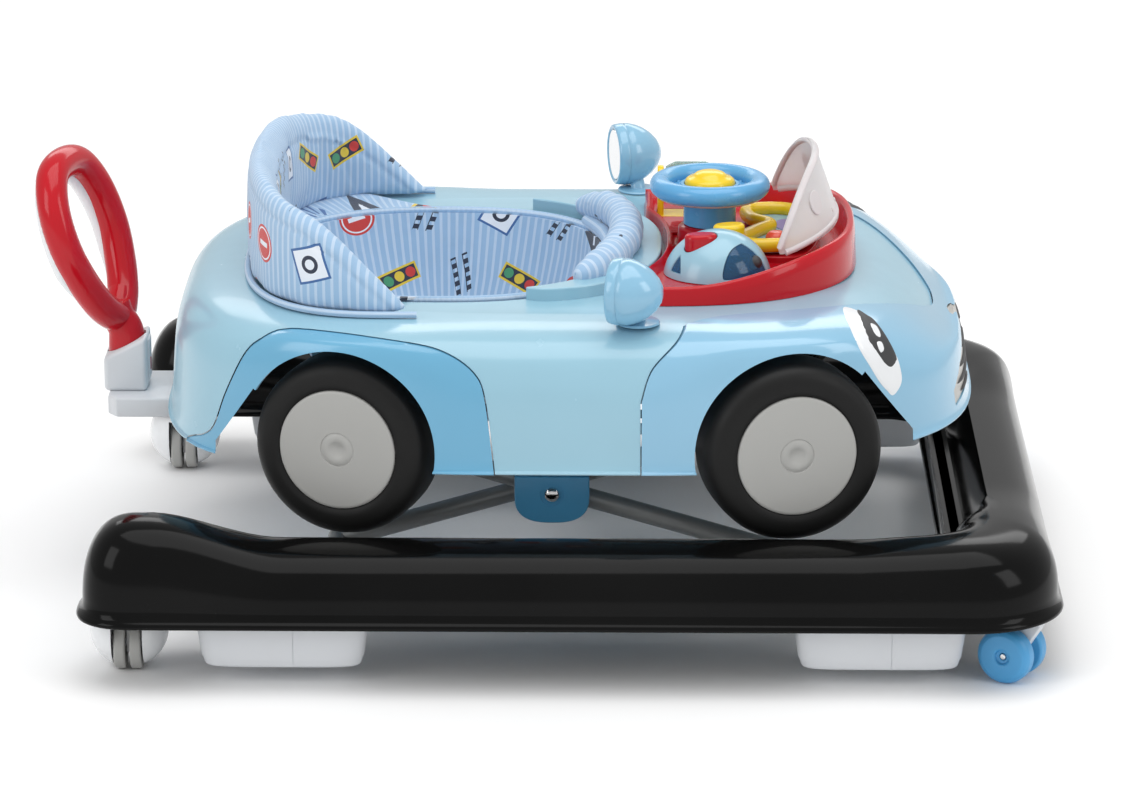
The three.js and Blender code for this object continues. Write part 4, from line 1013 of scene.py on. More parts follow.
def sticker(name, outline, surface, along, lift, look, rings=6, count=64):
    """Thin domed sheet laid on a panel, from a closed outline of 3-D points."""
    edge = spline(outline, count, closed=True)
    centre = sum(edge, Vector()) / len(edge)
    points, faces = [], []
    for i in range(rings):
        for p in edge:
            wanted = centre.lerp(p, 1 - i / rings) * MM
            height = lift if i else lift * 0.1
            points.append(laid(surface, wanted, along, height))
    points.append(laid(surface, centre * MM, along, lift))
    for i in range(rings - 1):
        for k in range(count):
            m = (k + 1) % count
            faces.append((i * count + k, i * count + m, (i + 1) * count + m, (i + 1) * count + k))
    for k in range(count):
        faces.append(((rings - 1) * count + k, (rings - 1) * count + (k + 1) % count, rings * count))
    return make(name, points, faces, look, angle=70)


EYE = [
    (232, 153, 254), (244, 160, 252), (256, 175, 245), (269, 188, 229), (274, 189, 214), (274, 193, 205),
    (268, 198, 198), (263, 202, 203), (257, 206, 211), (250, 208, 223), (242, 208, 236), (236, 198, 247),
    (232, 176, 253),
]
PUPIL = [
    (242, 164, 255), (249, 167, 252), (255, 173, 249), (264, 184, 238), (271, 189, 223), (267, 195, 217),
    (261, 200, 222), (255, 204, 232), (249, 203, 241), (244, 189, 251),
]
GLINT_HIGH = [(250, 178, 248), (255, 178, 246), (258, 186, 241), (257, 191, 240), (253, 190, 243)]
GLINT_LOW = [(254, 198, 239), (258, 193, 238), (260, 197, 233), (257, 202, 232)]


def eyes():
    surface = surface_of(fascia)
    for side, hand in SIDES:
        for name, outline, lift, look in (
            ("eye_white", EYE, 0.7, "gloss_white"), ("eye_dark", PUPIL, 1.1, "dark"),
            ("eye_glint_high", GLINT_HIGH, 1.4, "gloss_white"), ("eye_glint_low", GLINT_LOW, 1.4, "gloss_white"),
        ):
            points = [(x, side * y, z) for x, y, z in outline]
            along = Vector((-0.0133, -side * 0.9575, -0.288)).normalized()
            place(sticker(f"{name}_{hand}", points, surface, along, lift, look), "car", "white_plastic")


eyes()


# ---- road wheels ------------------------------------------------------------
TYRE = [
    (6.4, 5.6), (46.35, 5.6), (46.35, 1.4), (47.6, 0.2), (52, -0.1), (58.5, 0.6), (63, 2.6), (66.4, 6.6), (68.1, 12),
    (68.5, 20), (68.5, 34), (68.1, 42), (66.4, 48), (64, 51.4), (61.4, 52), (60.5, 51), (64.0, 42), (64.2, 12),
    (14, 9), (14, 49), (6.4, 49),
]


def road_wheels():
    for wheel in WHEELS:
        for side, hand in SIDES:
            body_name = f"road_wheel_{wheel['name']}_{hand}"
            face, inward = wheel_point(wheel, side, 0), -wheel_axis(wheel, side)
            tyre = lathe(f"tyre_shell_{wheel['name']}_{hand}", TYRE, face, inward, "tyre", 112, 40)
            place(tyre, body_name, "black_tyre", f"tyre_{wheel['name']}_{hand}")
            disc = [(0, 5.2), (46, 5.2), (46, 1.2), (45.2, 0.4), (43.5, 0.15), (13.4, 0.5), (13.0, 1.0), (12.4, 1.0),
                    (12.0, 0.55), (6, 0.5), (5.6, 0.9), (0, 0.9)]
            cap = lathe(f"hubcap_disc_{wheel['name']}_{hand}", disc, face, inward, "grey", 112, 50)
            place(cap, body_name, "grey_plastic", f"hubcap_{wheel['name']}_{hand}")


road_wheels()


# ---- mirrors ----------------------------------------------------------------
def mirrors():
    for side, hand in SIDES:
        back = Vector((0.97, side * 0.24, 0))
        seat = (58, side * 210.5, 282)
        pod = lathe("pod", [(0, 0.5), (20.6, 0.5), (21.0, -1.6), (22.6, -2.4), (24.4, -1.8), (25.0, 0.6), (25.4, 4),
                            (25.45, 6.2), (25.0, 6.5), (25.0, 6.9), (25.4, 7.2), (24.9, 12), (23.6, 17), (21.2, 22.4),
                            (17.4, 28), (12.4, 33), (6.6, 36.4), (0, 37.5)], seat, back, "light", 72, 60)
        stem = sweep("stem", spline([(76, side * 200, 254), (75.6, side * 202.4, 259), (73.5, side * 210, 265),
                                     (73, side * 214, 272), (73, side * 214, 280)], 18), 6.0, "light", 20, flat=0.8)
        foot = lathe("foot", [(0, 238), (6, 238), (6, 254.4), (16.4, 254.4), (16.6, 255.2), (15.8, 256.1), (9, 256.6),
                              (0, 256.6)], (76, side * 200, 0), (0, 0, 1), "light", 48)
        place(join(f"mirror_shell_{hand}", [pod, stem, foot]), f"mirror_{hand}", "light_blue", f"mirror_housing_{hand}")
        glass = lathe(f"mirror_disc_{hand}", [(0, -1.5), (20.2, -1.5), (20.5, -1.1), (20.5, 0.1), (0, 0.1)], seat, back,
                      "mirror", 64)
        place(glass, f"mirror_{hand}", "mirror_film", f"mirror_glass_{hand}")


mirrors()


# ---- toy tray ---------------------------------------------------------------
TRAY_FRONT, TRAY_BACK, TRAY_HALF, TRAY_FLOOR = 247, 100, 154, 262


def tray_outline(inset, count=64, back=48):
    points = []
    for i in range(count + 1):
        t = mix(-math.pi / 2, math.pi / 2, i / count)
        reach = TRAY_FRONT - TRAY_BACK + 18
        points.append((TRAY_BACK - 18 + (reach - inset) * abs(math.cos(t)) ** 0.8,
                       (TRAY_HALF - inset) * power(math.sin(t), 0.8)))
    for i in range(1, back):
        y = mix(TRAY_HALF - inset, inset - TRAY_HALF, i / back)
        s = (abs(y) / (OPEN_W + 32)) ** 1.205
        hug = OPEN_X + (OPEN_L + 32) * math.sqrt(max(0.0, 1 - s * s)) ** 0.83
        points.append((max(TRAY_BACK - 19, hug) + inset * 0.6, y))
    return points


def rim_height(x):
    return 268 + 20 * smooth(110, 245, x)


STEER = (132, 0, 310)
POD = (137, -84, 256)
ROLLER = (118, 98, 292)
PLATE = [(152, -43), (168, -53), (200, -54), (214, -22), (219, 20), (211, 62), (188, 72), (150, 58)]


def tray():
    levels = [(0, lambda r: DECK + 0.35), (0.2, lambda r: DECK + 2), (1.2, lambda r: r - 10), (2.2, lambda r: r - 2.4),
              (3.4, lambda r: r - 0.5), (5, lambda r: r + 0.2), (7, lambda r: r - 0.3), (8.6, lambda r: r - 2.2),
              (10.4, lambda r: TRAY_FLOOR + 3), (12.4, lambda r: TRAY_FLOOR + 0.6), (15, lambda r: TRAY_FLOOR)]
    rings = [[(x, y, h(rim_height(x))) for x, y in tray_outline(inset)] for inset, h in levels]
    whole = loft("tray_shell", rings, "red", around=False, angle=45)
    boss = lathe("boss", rounded([(0, 256), (27, 256), (25.4, 266), (24.6, 277), (22, 279), (0, 279)], 3, 1.2),
                 (STEER[0], 0, 0), (0, 0, 1), "red", 64)
    outline = [tuple(p) for p in spline(PLATE, 56, closed=True)]
    plinth = prism("plinth", outline, "xy", 256, 267.0, "red", 1.0)
    hole = block("hole", (ROLLER[0] - 27, ROLLER[1] - 12.4, 240), (ROLLER[0] + 27, ROLLER[1] + 12.4, 300))
    carve(whole, [hole], angle=45)
    dark = []
    for side, hand in SIDES:
        for k in range(7):
            x, y = 99 + 0.6 * k, side * (30 + 5.2 * k)
            ridge = sweep("ridge", [(x, y, TRAY_FLOOR + 0.4), (x + 4, y, TRAY_FLOOR + 1.3), (x + 14, y, TRAY_FLOOR + 1.3),
                                    (x + 18, y, TRAY_FLOOR + 0.4)], 1.3, "red", 10)
            dark.append(ridge)
        for k in range(4):
            spot = (104 + 7 * k, side * (134 + 1.5 * math.sin(k)), TRAY_FLOOR)
            dark.append(lathe("dimple", [(0, 0), (3.2, 0), (2.6, 0.8), (1.2, 1.2), (0, 1.3)], spot, (0, 0, 1), "red", 20))
    place(join("toy_tray_shell", [whole, boss, plinth, *dark]), "car", "red_plastic", "toy_tray")


tray()


def steering():
    x, y, z = STEER
    rim = [(39 + 8.2 * math.cos(a), 8.2 * math.sin(a) * 0.96) for a in [2 * math.pi * i / 28 for i in range(28)]]
    parts = [lathe("rim", rim, STEER, (0, 0, 1), "toy_blue", 96, 80)]
    dish = [(21.2, -5), (34, -6), (34, -2), (21.2, -1)]
    parts.append(lathe("dish", dish, STEER, (0, 0, 1), "toy_blue", 96))
    for k in range(40):
        a = 2 * math.pi * k / 40
        reach = 26.4 if k % 2 else 30.2
        spot = (x + reach * math.cos(a), y + reach * math.sin(a), z - 1.7)
        parts.append(lathe("stud", [(0, 0), (1.5, 0), (1.1, 0.8), (0, 1.1)], spot, (0, 0, 1), "toy_blue", 10, 60))
    hub = rounded([(0, -30.5), (20.5, -30.5), (20.5, -8), (23, -7), (23, 2), (20.2, 2), (20.2, -5), (0, -5)], 3, 0.7)
    parts.append(lathe("hub", hub, STEER, (0, 0, 1), "toy_blue", 80))
    whole = join("steering_wheel_shell", parts)
    place(whole, "steering", "mid_blue", "steering_wheel")
    glow = [(30, -9.6), (36, -9.6), (41.5, -8.4), (43.2, -6.8), (42.0, -5.6), (38, -7.9), (30, -8.0)]
    ring = lathe("steering_light_ring", glow, STEER, (0, 0, 1), "ring_glow", 96, 60)
    place(ring, "steering", "white_plastic")
    cap = [(0, -2), (19.6, -2), (19.8, -1.6), (19.8, 3), (18.8, 5), (16.6, 6.6), (13.6, 7.2), (12.6, 8.6), (10.6, 10.2),
           (7, 11.4), (0, 11.8)]
    place(lathe("horn_cap", cap, STEER, (0, 0, 1), "yellow", 80, 50), "horn", "yellow_plastic", "horn_button")


steering()


# ---- pod, buttons, frame, roller --------------------------------------------
def half_ball(name, centre, radii, low, look, rows=20, segments=72):
    rings = []
    for i in range(rows):
        z = mix(low, centre[2] + radii[2] * 0.9985, math.sin(math.pi / 2 * i / (rows - 1)))
        s = math.sqrt(max(0.0, 1 - ((z - centre[2]) / radii[2]) ** 2))
        rings.append([(centre[0] + radii[0] * s * math.cos(2 * math.pi * k / segments),
                       centre[1] + radii[1] * s * math.sin(2 * math.pi * k / segments), z) for k in range(segments)])
    return loft(name, rings, look, around=False, angle=50)


def button_outline(x, y, turn, grow):
    out = []
    c, s = math.cos(math.radians(turn)), math.sin(math.radians(turn))
    for i in range(40):
        a = 2 * math.pi * i / 40
        u, v = 1.25 * (10 + grow) * power(math.cos(a), 0.9), 0.8 * (10 + grow) * power(math.sin(a), 0.9)
        out.append((x + u * c - v * s, y + u * s + v * c))
    return out


BUTTONS = (("red_button", "red_key", 124, -96, 12, "red", "red_plastic"),
           ("yellow_button", "yellow_key", 146, -66, 20, "yellow", "yellow_plastic"))


def window_tools(grow):
    lens = [(141 - grow, 268.4 - grow), (150, 266 - grow), (196, 266 - grow), (196, 282 + grow), (176, 288 + grow),
            (158, 289 + grow), (146 - grow, 284 + grow)]
    outline = [tuple(p) for p in spline(lens, 42, closed=True)]
    side = prism("side_window", outline, "xz", -140, -98 + grow, "clear_blue", 0)
    back = [(-141 - grow, 268 - grow), (-100 + grow, 268 - grow), (-100 + grow, 286 + grow), (-141 - grow, 286 + grow)]
    return [side, prism("back_window", back, "yz", 80, 108 + grow, "clear_blue", 0)]


def pod():
    low = TRAY_FLOOR + 0.35
    dome = half_ball("pod_dome", POD, (42, 38, 40), low, "pale")
    sockets = [prism("socket", button_outline(x, y, turn, 0.4), "xy", 278, 320, "pale", 0)
               for name, key, x, y, turn, look, slot in BUTTONS]
    carve(dome, window_tools(0.5) + sockets, angle=40)
    place(dome, "car", "pale_blue", "pod_shell")
    lens = half_ball("pod_lens_side", POD, (41.6, 37.6, 39.6), low + 0.4, "clear_blue")
    other = copy(lens, "pod_lens_back")
    side, back = window_tools(0)
    inner = half_ball("inner", POD, (39.4, 35.4, 37.4), low - 5, "clear_blue")
    carve(lens, [side], "INTERSECT", 40)
    carve(lens, [copy(inner, "inner_copy")], angle=40)
    carve(other, [back], "INTERSECT", 40)
    carve(other, [inner], angle=40)
    place(join("pod_windows", [lens, other]), "car", "clear_blue", "pod_window")
    balls = []
    for x, y, z, r in ((151, -104, 275, 6.4), (165, -100, 274, 6.0), (158, -94, 277, 5.4)):
        profile = [(0, -r)] + [(r * math.cos(t), r * math.sin(t)) for t in
                               [math.radians(-80 + 16 * i) for i in range(11)]] + [(0, r)]
        balls.append(lathe("bead", profile, (x, y, z), (0, 0, 1), "dark", 28, 60))
    place(join("pod_beads", balls), "car", "clear_blue")
    for name, key, x, y, turn, look, slot in BUTTONS:
        cap = prism(f"{name}_cap", button_outline(x, y, turn, 0), "xy", 281.5, 296, look, 2.6)
        place(cap, key, slot, name)


pod()


FRAME_LINE = [(176, -50), (200, -42), (211, -14), (213, 22), (204, 52), (186, 63), (163, 56), (166, 30), (180, 12),
              (168, -8), (156, -30), (160, -46)]


def picture():
    outline = [Vector((x, y, 274.6)) for x, y in FRAME_LINE]
    ring = sweep("picture_frame_ring", spline(outline, 96, closed=True), 5.4, "yellow", 16, closed=True, flat=1.05)
    place(ring, "car", "yellow_plastic", "picture_frame")
    inside = [tuple(p.xy) for p in spline(outline, 72, closed=True)]
    card = prism("picture_card", inside, "xy", 268.4, 271, "pale", 0)
    oval = prism("picture_oval", [(193 + 9 * math.cos(a), 26 + 17 * math.sin(a)) for a in
                                  [2 * math.pi * i / 40 for i in range(40)]], "xy", 271, 271.5, "purple", 0)
    knob = lathe("picture_knob", rounded([(0, 0), (9, 0), (8, 5), (5.4, 7.4), (0, 8)], 3, 1), (184, -22, 271), (0, 0, 1), "coral", 40)
    place(card, "car", "pale_blue")
    place(oval, "car", "mid_blue")
    place(knob, "car", "red_plastic")


picture()


def roller():
    x, y, z = ROLLER
    parts = []
    for end in (-1, 1):
        arm = [(y - 10, 256), (y + 10, 256), (y + 8.4, z - 4), *arc(y, z, 9, 0, 180, 14), (y - 8.4, z - 4)]
        x0 = x + end * 24 - 2.5
        parts.append(prism("arm", arm, "yz", x0, x0 + 5, "yellow", 1.2))
    parts.append(block("foot", (x - 26.5, y - 12, 254.6), (x + 26.5, y + 12, 262), "yellow", 0.8))
    parts.append(tube("axle", (x - 24, y, z), (x + 24, y, z), "yellow", 2.5))
    place(join("roller_stand_shell", parts), "car", "yellow_plastic", "roller_stand")
    points, faces = [], []
    rings = []
    for i, (h, r) in enumerate([(-20, 2.8), (-20, 8), (-16, 10.4), (-12, 12), (12, 12), (16, 10.4), (20, 8), (20, 2.8)]):
        ring = []
        for k in range(96):
            a = 2 * math.pi * k / 96
            rib = 0.9 * (0.5 + 0.5 * math.cos(12 * a)) if r > 9 else 0.0
            ring.append((x + h, y + (r - rib) * math.cos(a), z + (r - rib) * math.sin(a)))
        rings.append(ring)
    turned = [list(row) for row in zip(*rings)]
    barrel = loft("roller_barrel_ribbed", turned, "clear_teal", angle=40)
    place(barrel, "roller", "clear_teal", "roller_barrel")


roller()


# ---- windscreen -------------------------------------------------------------
def screen_point(s, u, offset=0.0):
    """s from -1 to 1 across, u from 0 at the tray to 1 at the top edge."""
    x = 186 + 47 * (1 - s * s) ** 0.6
    tall = 50 * (1 - abs(s) ** 3) ** 0.6 + 3
    return Vector((x - 0.35 * tall * u - offset, 99 * s, rim_height(x) + 0.5 + tall * u))


def windscreen():
    count, rows = 72, 14
    rings = []
    for i in range(count + 1):
        s = 0.999 * math.sin(mix(-math.pi / 2, math.pi / 2, i / count))
        front = [screen_point(s, u / rows) for u in range(rows + 1)]
        back = [screen_point(s, u / rows, 2.6) for u in range(rows, -1, -1)]
        rings.append(front + back)
    pane = loft("windscreen_pane", rings, "frosted", around=False, angle=50)
    place(pane, "car", "frosted_plastic", "windscreen")
    edge = [screen_point(0.999 * math.sin(mix(-math.pi / 2, math.pi / 2, i / 90)), 0.955, 1.3) for i in range(91)]
    rim = sweep("top", edge, 3.0, "frosted_rim", 14, flat=0.75)
    foot = [screen_point(0.99 * math.sin(mix(-math.pi / 2, math.pi / 2, i / 70)), 0.05, 1.5) for i in range(71)]
    base = sweep("low", foot, 2.6, "frosted_rim", 12)
    discs = []
    for s, u, r in ((-0.62, 0.55, 10), (0.62, 0.55, 10), (0.3, 0.2, 2), (-0.3, 0.2, 2), (0.0, 0.2, 2)):
        middle = screen_point(s, u)
        normal = (screen_point(s + 0.02, u) - middle).cross(screen_point(s, u + 0.05) - middle).normalized()
        if normal.x < 0:
            normal.negate()
        discs.append(lathe("boss", rounded([(0, -0.2), (r, -0.2), (r - 0.6, 1.0), (0, 1.0)], 3, 0.5), middle, normal,
                           "frosted_rim", 36, 60))
    place(join("windscreen_rim", [rim, base, *discs]), "car", "frosted_plastic")


windscreen()


# ---- push handle ------------------------------------------------------------
STEM_X = -328


def handle_point(u, v):
    return Vector((STEM_X - 2.6 - (v - 190) * 0.325 + 0.3 * u, u, v))


def handle():
    loop = [(0, 326), (26, 320), (42, 297), (45, 266), (35, 236), (19, 213), (0, 203), (-19, 213), (-35, 236),
            (-45, 266), (-42, 297), (-26, 320)]
    ring = sweep("ring", spline([handle_point(u, v) for u, v in loop], 96, closed=True), 12.5, "red", 28, closed=True)
    low = [(STEM_X, 0, 134), (STEM_X, 0, 150), (STEM_X, 0, 172), (STEM_X - 0.6, 0, 190), handle_point(0, 202),
           handle_point(0, 212)]
    stem = sweep("stem", spline(low, 40), lambda t: 14.5 - 1.6 * smooth(0.45, 0.85, t), "red", 32)
    webs = [sweep("web", spline([handle_point(0, 196), handle_point(s * 6, 208), handle_point(s * 17, 217)], 14), 9.6,
                  "red", 20) for s in (-1, 1)]
    place(join("handle_loop", [ring, stem, *webs]), "handle", "red_plastic", "push_handle")
    inlay = []
    for i in range(49):
        a = mix(-2.45, 2.45, i / 48)
        p = handle_point(44 * math.sin(a), 268 + 56 * math.cos(a))
        inlay.append(p + Vector((-9.2, 0, -3)))
    grip = sweep("handle_grip_inlay", inlay, lambda t: 6.6 * min(1, 0.35 + 6 * min(t, 1 - t)), "gloss_white", 20)
    place(grip, "handle", "white_plastic", "handle_grip")


def bracket():
    plan = [(-341, -30), (-334, -40), (-262, -40), (-262, 40), (-334, 40), (-341, 30)]
    plate = prism("plate", plan, "xy", 130, 145.4, "white", 1.6)
    arm = [(-345, 145), (-311, 145), (-311, 190), (-345, 173)]
    sleeve = prism("sleeve", arm, "xz", -20, 20, "white", 0)
    ridge = prism("ridge", [(-312, 150), (-309.6, 152), (-309.6, 184), (-312, 186)], "xz", -9, 9, "white", 0.6)
    soften(sleeve, 4.0, 5)
    settle(sleeve)
    parts = []
    for part in (plate, sleeve, ridge):
        bore = lathe("bore", [(0, 133.5), (15.3, 133.5), (15.3, 215), (0, 215)], (STEM_X, 0, 0), (0, 0, 1), "white", 64)
        slot = block("slot", (-314, -2.2, 154), (-305, 2.2, 180))
        parts.append(carve(part, [bore, slot], angle=36))
    whole = join("handle_bracket_shell", parts)
    place(whole, "car", "white_plastic", "handle_bracket")
    tab = block("handle_catch_tab", (-313.4, -1.7, 158), (-309.2, 1.7, 168), "red", 0.5)
    place(tab, "car", "red_plastic")


handle()
bracket()


# ---- seat -------------------------------------------------------------------
BACK_TOP = [(-240, 349), (-224, 346), (-205, 338), (-177, 330), (-152, 314), (-117, 283), (-94, 261), (-80, 257)]


def back_top(x):
    i = 1
    while i < len(BACK_TOP) - 1 and x > BACK_TOP[i][0]:
        i += 1
    (x0, z0), (x1, z1) = BACK_TOP[i - 1], BACK_TOP[i]
    return mix(z0, z1, (x - x0) / (x1 - x0))


def back_plan(t, grow):
    return (-106 + (124 + grow) * power(math.cos(t), 0.72), (190 + grow) * power(math.sin(t), 0.72))


def even(function, start, end, count):
    dense = [mix(start, end, i / 2000) for i in range(2001)]
    points = [Vector(function(t)) for t in dense]
    lengths = [0.0]
    for a, b in zip(points, points[1:]):
        lengths.append(lengths[-1] + (b - a).length)
    out, k = [], 0
    for i in range(count):
        want = lengths[-1] * i / (count - 1)
        while k < 1999 and lengths[k + 1] < want:
            k += 1
        out.append(mix(dense[k], dense[k + 1], (want - lengths[k]) / max(1e-9, lengths[k + 1] - lengths[k])))
    return out


def wrap(obj, centre, radius, turn=0.0):
    """Cloth coordinates in metres: round a vertical line, and up the wall."""
    while obj.data.uv_layers:
        obj.data.uv_layers.remove(obj.data.uv_layers[0])
    layer = obj.data.uv_layers.new(name="cloth")
    cx, cy = centre
    for face in obj.data.polygons:
        first = None
        for index in face.loop_indices:
            p = obj.data.vertices[obj.data.loops[index].vertex_index].co
            a = math.atan2(p.y - cy * MM, p.x - cx * MM) + turn
            if first is None:
                first = a
            while a - first > math.pi:
                a -= 2 * math.pi
            while a - first < -math.pi:
                a += 2 * math.pi
            layer.data[index].uv = (a * radius * MM, p.z + 0.25 * math.hypot(p.x - cx * MM, p.y - cy * MM))


def puff(obj, pressure, cap, voxel=5.0, frames=20, pinned=None):
    """Swell a closed pad with cloth pressure, no point moving further than `cap` mm."""
    step = obj.modifiers.new("remesh", "REMESH")
    step.mode = "VOXEL"
    step.voxel_size = voxel * MM
    settle(obj)
    start = [v.co.copy() for v in obj.data.vertices]
    sim = obj.modifiers.new("cloth", "CLOTH")
    sim.settings.use_pressure = True
    sim.settings.uniform_pressure_force = pressure
    sim.settings.effector_weights.gravity = 0
    sim.settings.quality = 4
    sim.settings.tension_stiffness = 12
    sim.settings.compression_stiffness = 12
    sim.settings.bending_stiffness = 0.4
    if pinned:
        group = obj.vertex_groups.new(name="pinned")
        group.add([v.index for v in obj.data.vertices if pinned(v.co / MM)], 1.0, "REPLACE")
        sim.settings.vertex_group_mass = "pinned"
    scene = bpy.context.scene
    for number in range(1, frames + 1):
        scene.frame_set(number)
    settle(obj)
    scene.frame_set(1)
    for vertex, rest in zip(obj.data.vertices, start):
        move = vertex.co - rest
        if move.length > cap * MM:
            vertex.co = rest + move.normalized() * cap * MM
    relax = obj.modifiers.new("relax", "SMOOTH")
    relax.factor = 0.5
    relax.iterations = 6
    step = obj.modifiers.new("finer", "SUBSURF")
    step.levels = 1
    step.render_levels = 1
    settle(obj)
    for face in obj.data.polygons:
        face.use_smooth = True
    return obj


def seat_back():
    turns = even(lambda t: back_plan(t, 0), 0.477 * math.pi, 1.523 * math.pi, 61)
    rings = []
    for t in turns:
        x = back_plan(t, 0)[0]
        low, top = DECK + 1.4, back_top(x) - 2.0
        middle = mix(low, top, 0.5)
        section = [(-3, low), (-2.4, middle), (-4, top - 7), (-10, top), (-17, top - 2), (-21, top - 9), (-21, middle),
                   (-20, low)]
        rings.append([(*back_plan(t, grow), max(low + (3 if z > low else 0), z)) for grow, z in section])
    pad = loft("seat_back_pad", rings, "print_cloth", around=False, angle=80)
    puff(pad, 2.6, 5.0, 5.0, 14, lambda p: p.z < DECK + 6)
    quilt(pad)
    wrap(pad, (-106, 0), 175, 0.6)
    place(pad, "car", "printed_cloth", "seat_back")
    rings = []
    for i in range(73):
        t = mix(0.5, 1.5, i / 72) * math.pi
        inside = (-79 + 134 * power(math.cos(t), 0.83), 134 * power(math.sin(t), 0.83))
        broad = smooth(0, 7, min(i, 72 - i))
        outside = tuple(mix(a, b, broad) for a, b in zip(inside, back_plan(t, -16)))
        rings.append([(*inside, DECK + 0.6), (*outside, DECK + 0.6), (*outside, DECK + mix(2.2, 5, broad)), (*inside, DECK + 2.2)])
    apron = loft("seat_apron", rings, "print_cloth", around=False, angle=80)
    wrap(apron, (-90, 0), 160, 0.3)
    place(apron, "car", "printed_cloth")
    line = []
    for t in even(lambda t: back_plan(t, 0), 0.482 * math.pi, 1.518 * math.pi, 90):
        x, y = back_plan(t, -1.5)
        line.append((x, y, DECK + 2.6))
    piping = sweep("seat_back_piping", line, 2.6, "plain_cloth", 12, uv=True)
    place(piping, "car", "printed_cloth")


def quilt(obj):
    """Soft gathers that run up from the lower edge, and a shallow seam below the rim."""
    for vertex in obj.data.vertices:
        p = vertex.co / MM
        a = math.atan2(p.y, p.x + 106)
        up = (p.z - DECK) / max(12.0, back_top(max(-240, min(-82, p.x))) - DECK)
        ripple = 0.7 * math.sin(19 * a + 1.3 * math.sin(3 * a)) * (1 - smooth(0.1, 0.75, up))
        seam = -1.6 * math.exp(-((p.z - back_top(max(-240, min(-82, p.x))) + 17) / 2.2) ** 2)
        away = Vector((p.x + 106, p.y, 0)).normalized()
        outside = 1 if math.hypot((p.x + 106) / 113, p.y / 179) > 1 else -1
        vertex.co += away * outside * (ripple + seam) * MM


def sling_ring(z, a, b, x0, shrink, count):
    ring = []
    for i in range(count):
        t = i / count * 2 * math.pi
        ring.append((x0 + (a - shrink) * power(math.cos(t), 0.83), (b - shrink) * power(math.sin(t), 0.83), z))
    return ring


SLING = [(251.5, 134.6, 136.4, -79), (240, 133.6, 133, -79), (225, 132, 128, -78), (203, 124, 120, -75.5), (180, 112, 108, -72),
         (160, 99, 95, -68.6), (145, 88, 82, -66), (137, 76, 70, -64), (132.6, 62, 56, -62)]


def sling():
    count = 128
    rings = [sling_ring(z, a, b, x0, 0, count) for z, a, b, x0 in reversed(SLING)]
    wall = [sling_ring(z + (6.5 if i > 3 else 1.2), a, b, x0, 6.5, count) for i, (z, a, b, x0) in enumerate(SLING)]
    floor_low = [(x * 0.5 - 31, y * 0.5, z - 0.3) for x, y, z in rings[0]]
    floor_high = [(x * 0.5 - 31, y * 0.5, z - 0.3) for x, y, z in wall[-1]]
    whole = loft("seat_sling_cloth", [floor_low, *rings, *wall, floor_high], "print_cloth", around=False, angle=80)
    for side in (-1, 1):
        a, b = Vector((-50, side * 34, 170)), Vector((-20, side * 44, 90))
        carve(whole, [lathe("leg_hole", [(0, -12), (27, -12), (27, 96), (0, 96)], a, b - a, "print_cloth", 48)], angle=80)
    for vertex in whole.data.vertices:
        p = vertex.co / MM
        a = math.atan2(p.y, p.x + 75)
        drop = smooth(252, 150, p.z)
        crease = 2.4 * math.sin(9 * a + 0.03 * p.z) * drop + 1.5 * math.sin(23 * a + 0.05 * p.z) * drop * (1 - drop) * 2
        away = Vector((p.x + 75, p.y, 0))
        if away.length > 30:
            vertex.co += away.normalized() * crease * MM * 0.8
    wrap(whole, (-75, 0), 122)
    for face in whole.data.polygons:
        face.use_smooth = True
    place(whole, "car", "printed_cloth", "seat_sling")
    hem = [(OPEN_X - 1 + 134.5 * power(math.cos(t), 0.83), 135.6 * power(math.sin(t), 0.83), 253.4) for t in
           [2 * math.pi * i / 140 for i in range(140)]]
    piping = sweep("seat_sling_piping", hem, 3.2, "rib_cloth", 14, closed=True, uv=True)
    place(piping, "car", "printed_cloth")
    for side, hand in SIDES:
        centre = Vector((-43.4, side * 36.2, 152))
        axis = Vector((30, side * 10, -80)).normalized()
        turn = aim(axis)
        loop = [centre + turn @ Vector((27 * math.cos(a), 27 * math.sin(a), 0)) for a in
                [2 * math.pi * i / 48 for i in range(48)]]
        binding = sweep(f"leg_hole_binding_{hand}", loop, 3.0, "rib_cloth", 12, closed=True, uv=True)
        place(binding, "car", "printed_cloth")


def front_roll():
    line = [(28, -112, 264), (50, -84, 270), (63, -42, 273), (67, 0, 274), (63, 42, 273), (50, 84, 270), (28, 112, 264)]
    roll = sweep("seat_front_roll", spline(line, 60), lambda t: 13.6 * (0.55 + 0.45 * min(1, 7 * min(t, 1 - t))),
                 "print_cloth", 28)
    puff(roll, 2.0, 3.0, 4.5, 10, lambda p: p.z < 263)
    for vertex in roll.data.vertices:
        p = vertex.co / MM
        a = math.atan2(p.y, p.x + 78)
        centre = Vector((-78 + 143 * math.cos(a), 143 * math.sin(a), 270))
        away = p - centre
        fold = 1.0 * math.sin(46 * a) * smooth(258, 276, p.z)
        vertex.co += away.normalized() * fold * MM
    wrap(roll, (-78, 0), 145, 0.9)
    place(roll, "car", "printed_cloth")
    belt = [(36, -92, 256), (50, -48, 257), (55, 0, 257), (50, 48, 257), (36, 92, 256)]
    under = sweep("seat_front_band", spline(belt, 40), 6.0, "plain_cloth", 16, uv=True)
    place(under, "car", "printed_cloth")


seat_back()
sling()
front_roll()
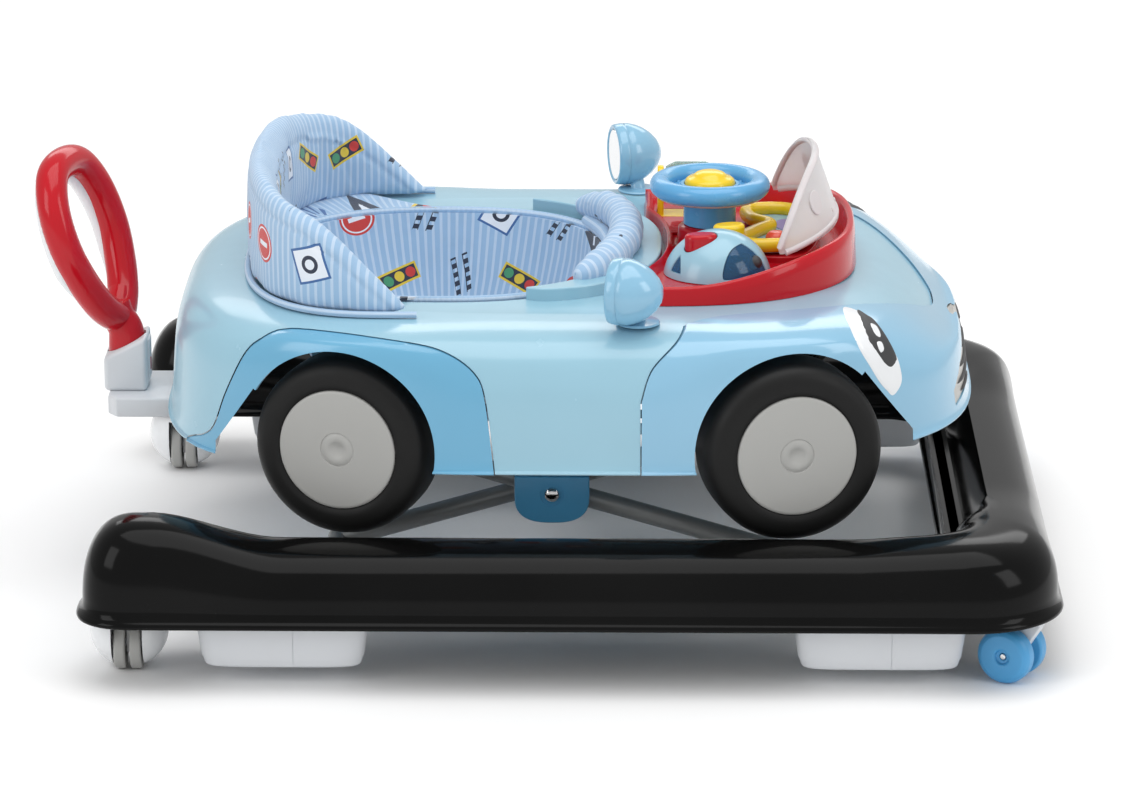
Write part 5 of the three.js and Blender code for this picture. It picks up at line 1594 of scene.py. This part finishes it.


# ---- grille slots, painted as dark strips of shade on the grille ------------
def grille_slot_shade():
    surface = surface_of(grille)
    parts = []
    for row, (z, half) in enumerate(((174, 104), (182, 112), (191, 96), (199, 70))):
        for side in (-1, 1):
            line = []
            for i in range(24):
                y = side * mix(8, half, i / 23)
                line.append(laid(surface, Vector((325, y, z)) * MM, Vector((-1, 0, 0)), 0.3))
            # thin dark strips on the grille face: painted shade where the slot openings would be
            parts.append(sweep("slot", line, lambda t: 1.7 * min(1, 0.2 + 8 * min(t, 1 - t)), "dark", 8, flat=0.8))
    place(join("grille_slot_shade", parts), "car", "silver_plastic")


grille_slot_shade()


# ---- floor, light, camera ---------------------------------------------------
def stage():
    mesh = bpy.data.meshes.new("floor")
    mesh.from_pydata([(-12, -12, 0), (12, -12, 0), (12, 12, 0), (-12, 12, 0)], [], [(0, 1, 2, 3)])
    floor = bpy.data.objects.new("floor", mesh)
    bpy.context.scene.collection.objects.link(floor)
    look = Look("floor_paper", 0.9)
    look.link(look.blend(look.noise(3.0), (0.96, 0.96, 0.96), (0.975, 0.975, 0.975)), look.shader.inputs["Base Color"])
    mesh.materials.append(look.material)
    world = bpy.data.worlds.new("studio")
    bpy.context.scene.world = world
    world.use_nodes = True
    world.node_tree.nodes["Background"].inputs["Color"].default_value = (1.0, 1.0, 1.0, 1.0)
    world.node_tree.nodes["Background"].inputs["Strength"].default_value = 0.62


def lamp(name, place_at, target, size, power_w):
    light = bpy.data.lights.new(name, "AREA")
    light.shape = "RECTANGLE"
    light.size, light.size_y = size
    light.energy = power_w
    obj = bpy.data.objects.new(name, light)
    bpy.context.scene.collection.objects.link(obj)
    obj.location = place_at
    way = Vector(target) - Vector(place_at)
    obj.rotation_euler = way.to_track_quat("-Z", "Y").to_euler()


def camera():
    elevation, azimuth = math.radians(16.75), math.radians(0.794)
    ahead = Vector((-math.sin(azimuth) * math.cos(elevation), math.cos(azimuth) * math.cos(elevation),
                    -math.sin(elevation)))
    data = bpy.data.cameras.new("camera")
    data.lens = 165.73
    data.sensor_width = 36
    data.clip_end = 60
    obj = bpy.data.objects.new("camera", data)
    bpy.context.scene.collection.objects.link(obj)
    obj.location = Vector((0.0166, 0, 0.132)) - ahead * 4.108
    obj.rotation_euler = ahead.to_track_quat("-Z", "Y").to_euler()
    bpy.context.scene.camera = obj


stage()
lamp("overhead", (0.2, -0.3, 2.6), (0, 0, 0.1), (2.6, 2.0), 34)
lamp("left_soft", (-2.2, -1.8, 1.5), (0, 0, 0.15), (1.2, 1.6), 16)
lamp("right_soft", (2.4, -1.4, 1.6), (0, 0, 0.15), (1.0, 1.6), 14)
lamp("floor_wash", (0, 2.9, 1.9), (0, 2.3, 0), (3.4, 1.2), 26)
camera()
bpy.context.scene.view_settings.view_transform = "Standard"
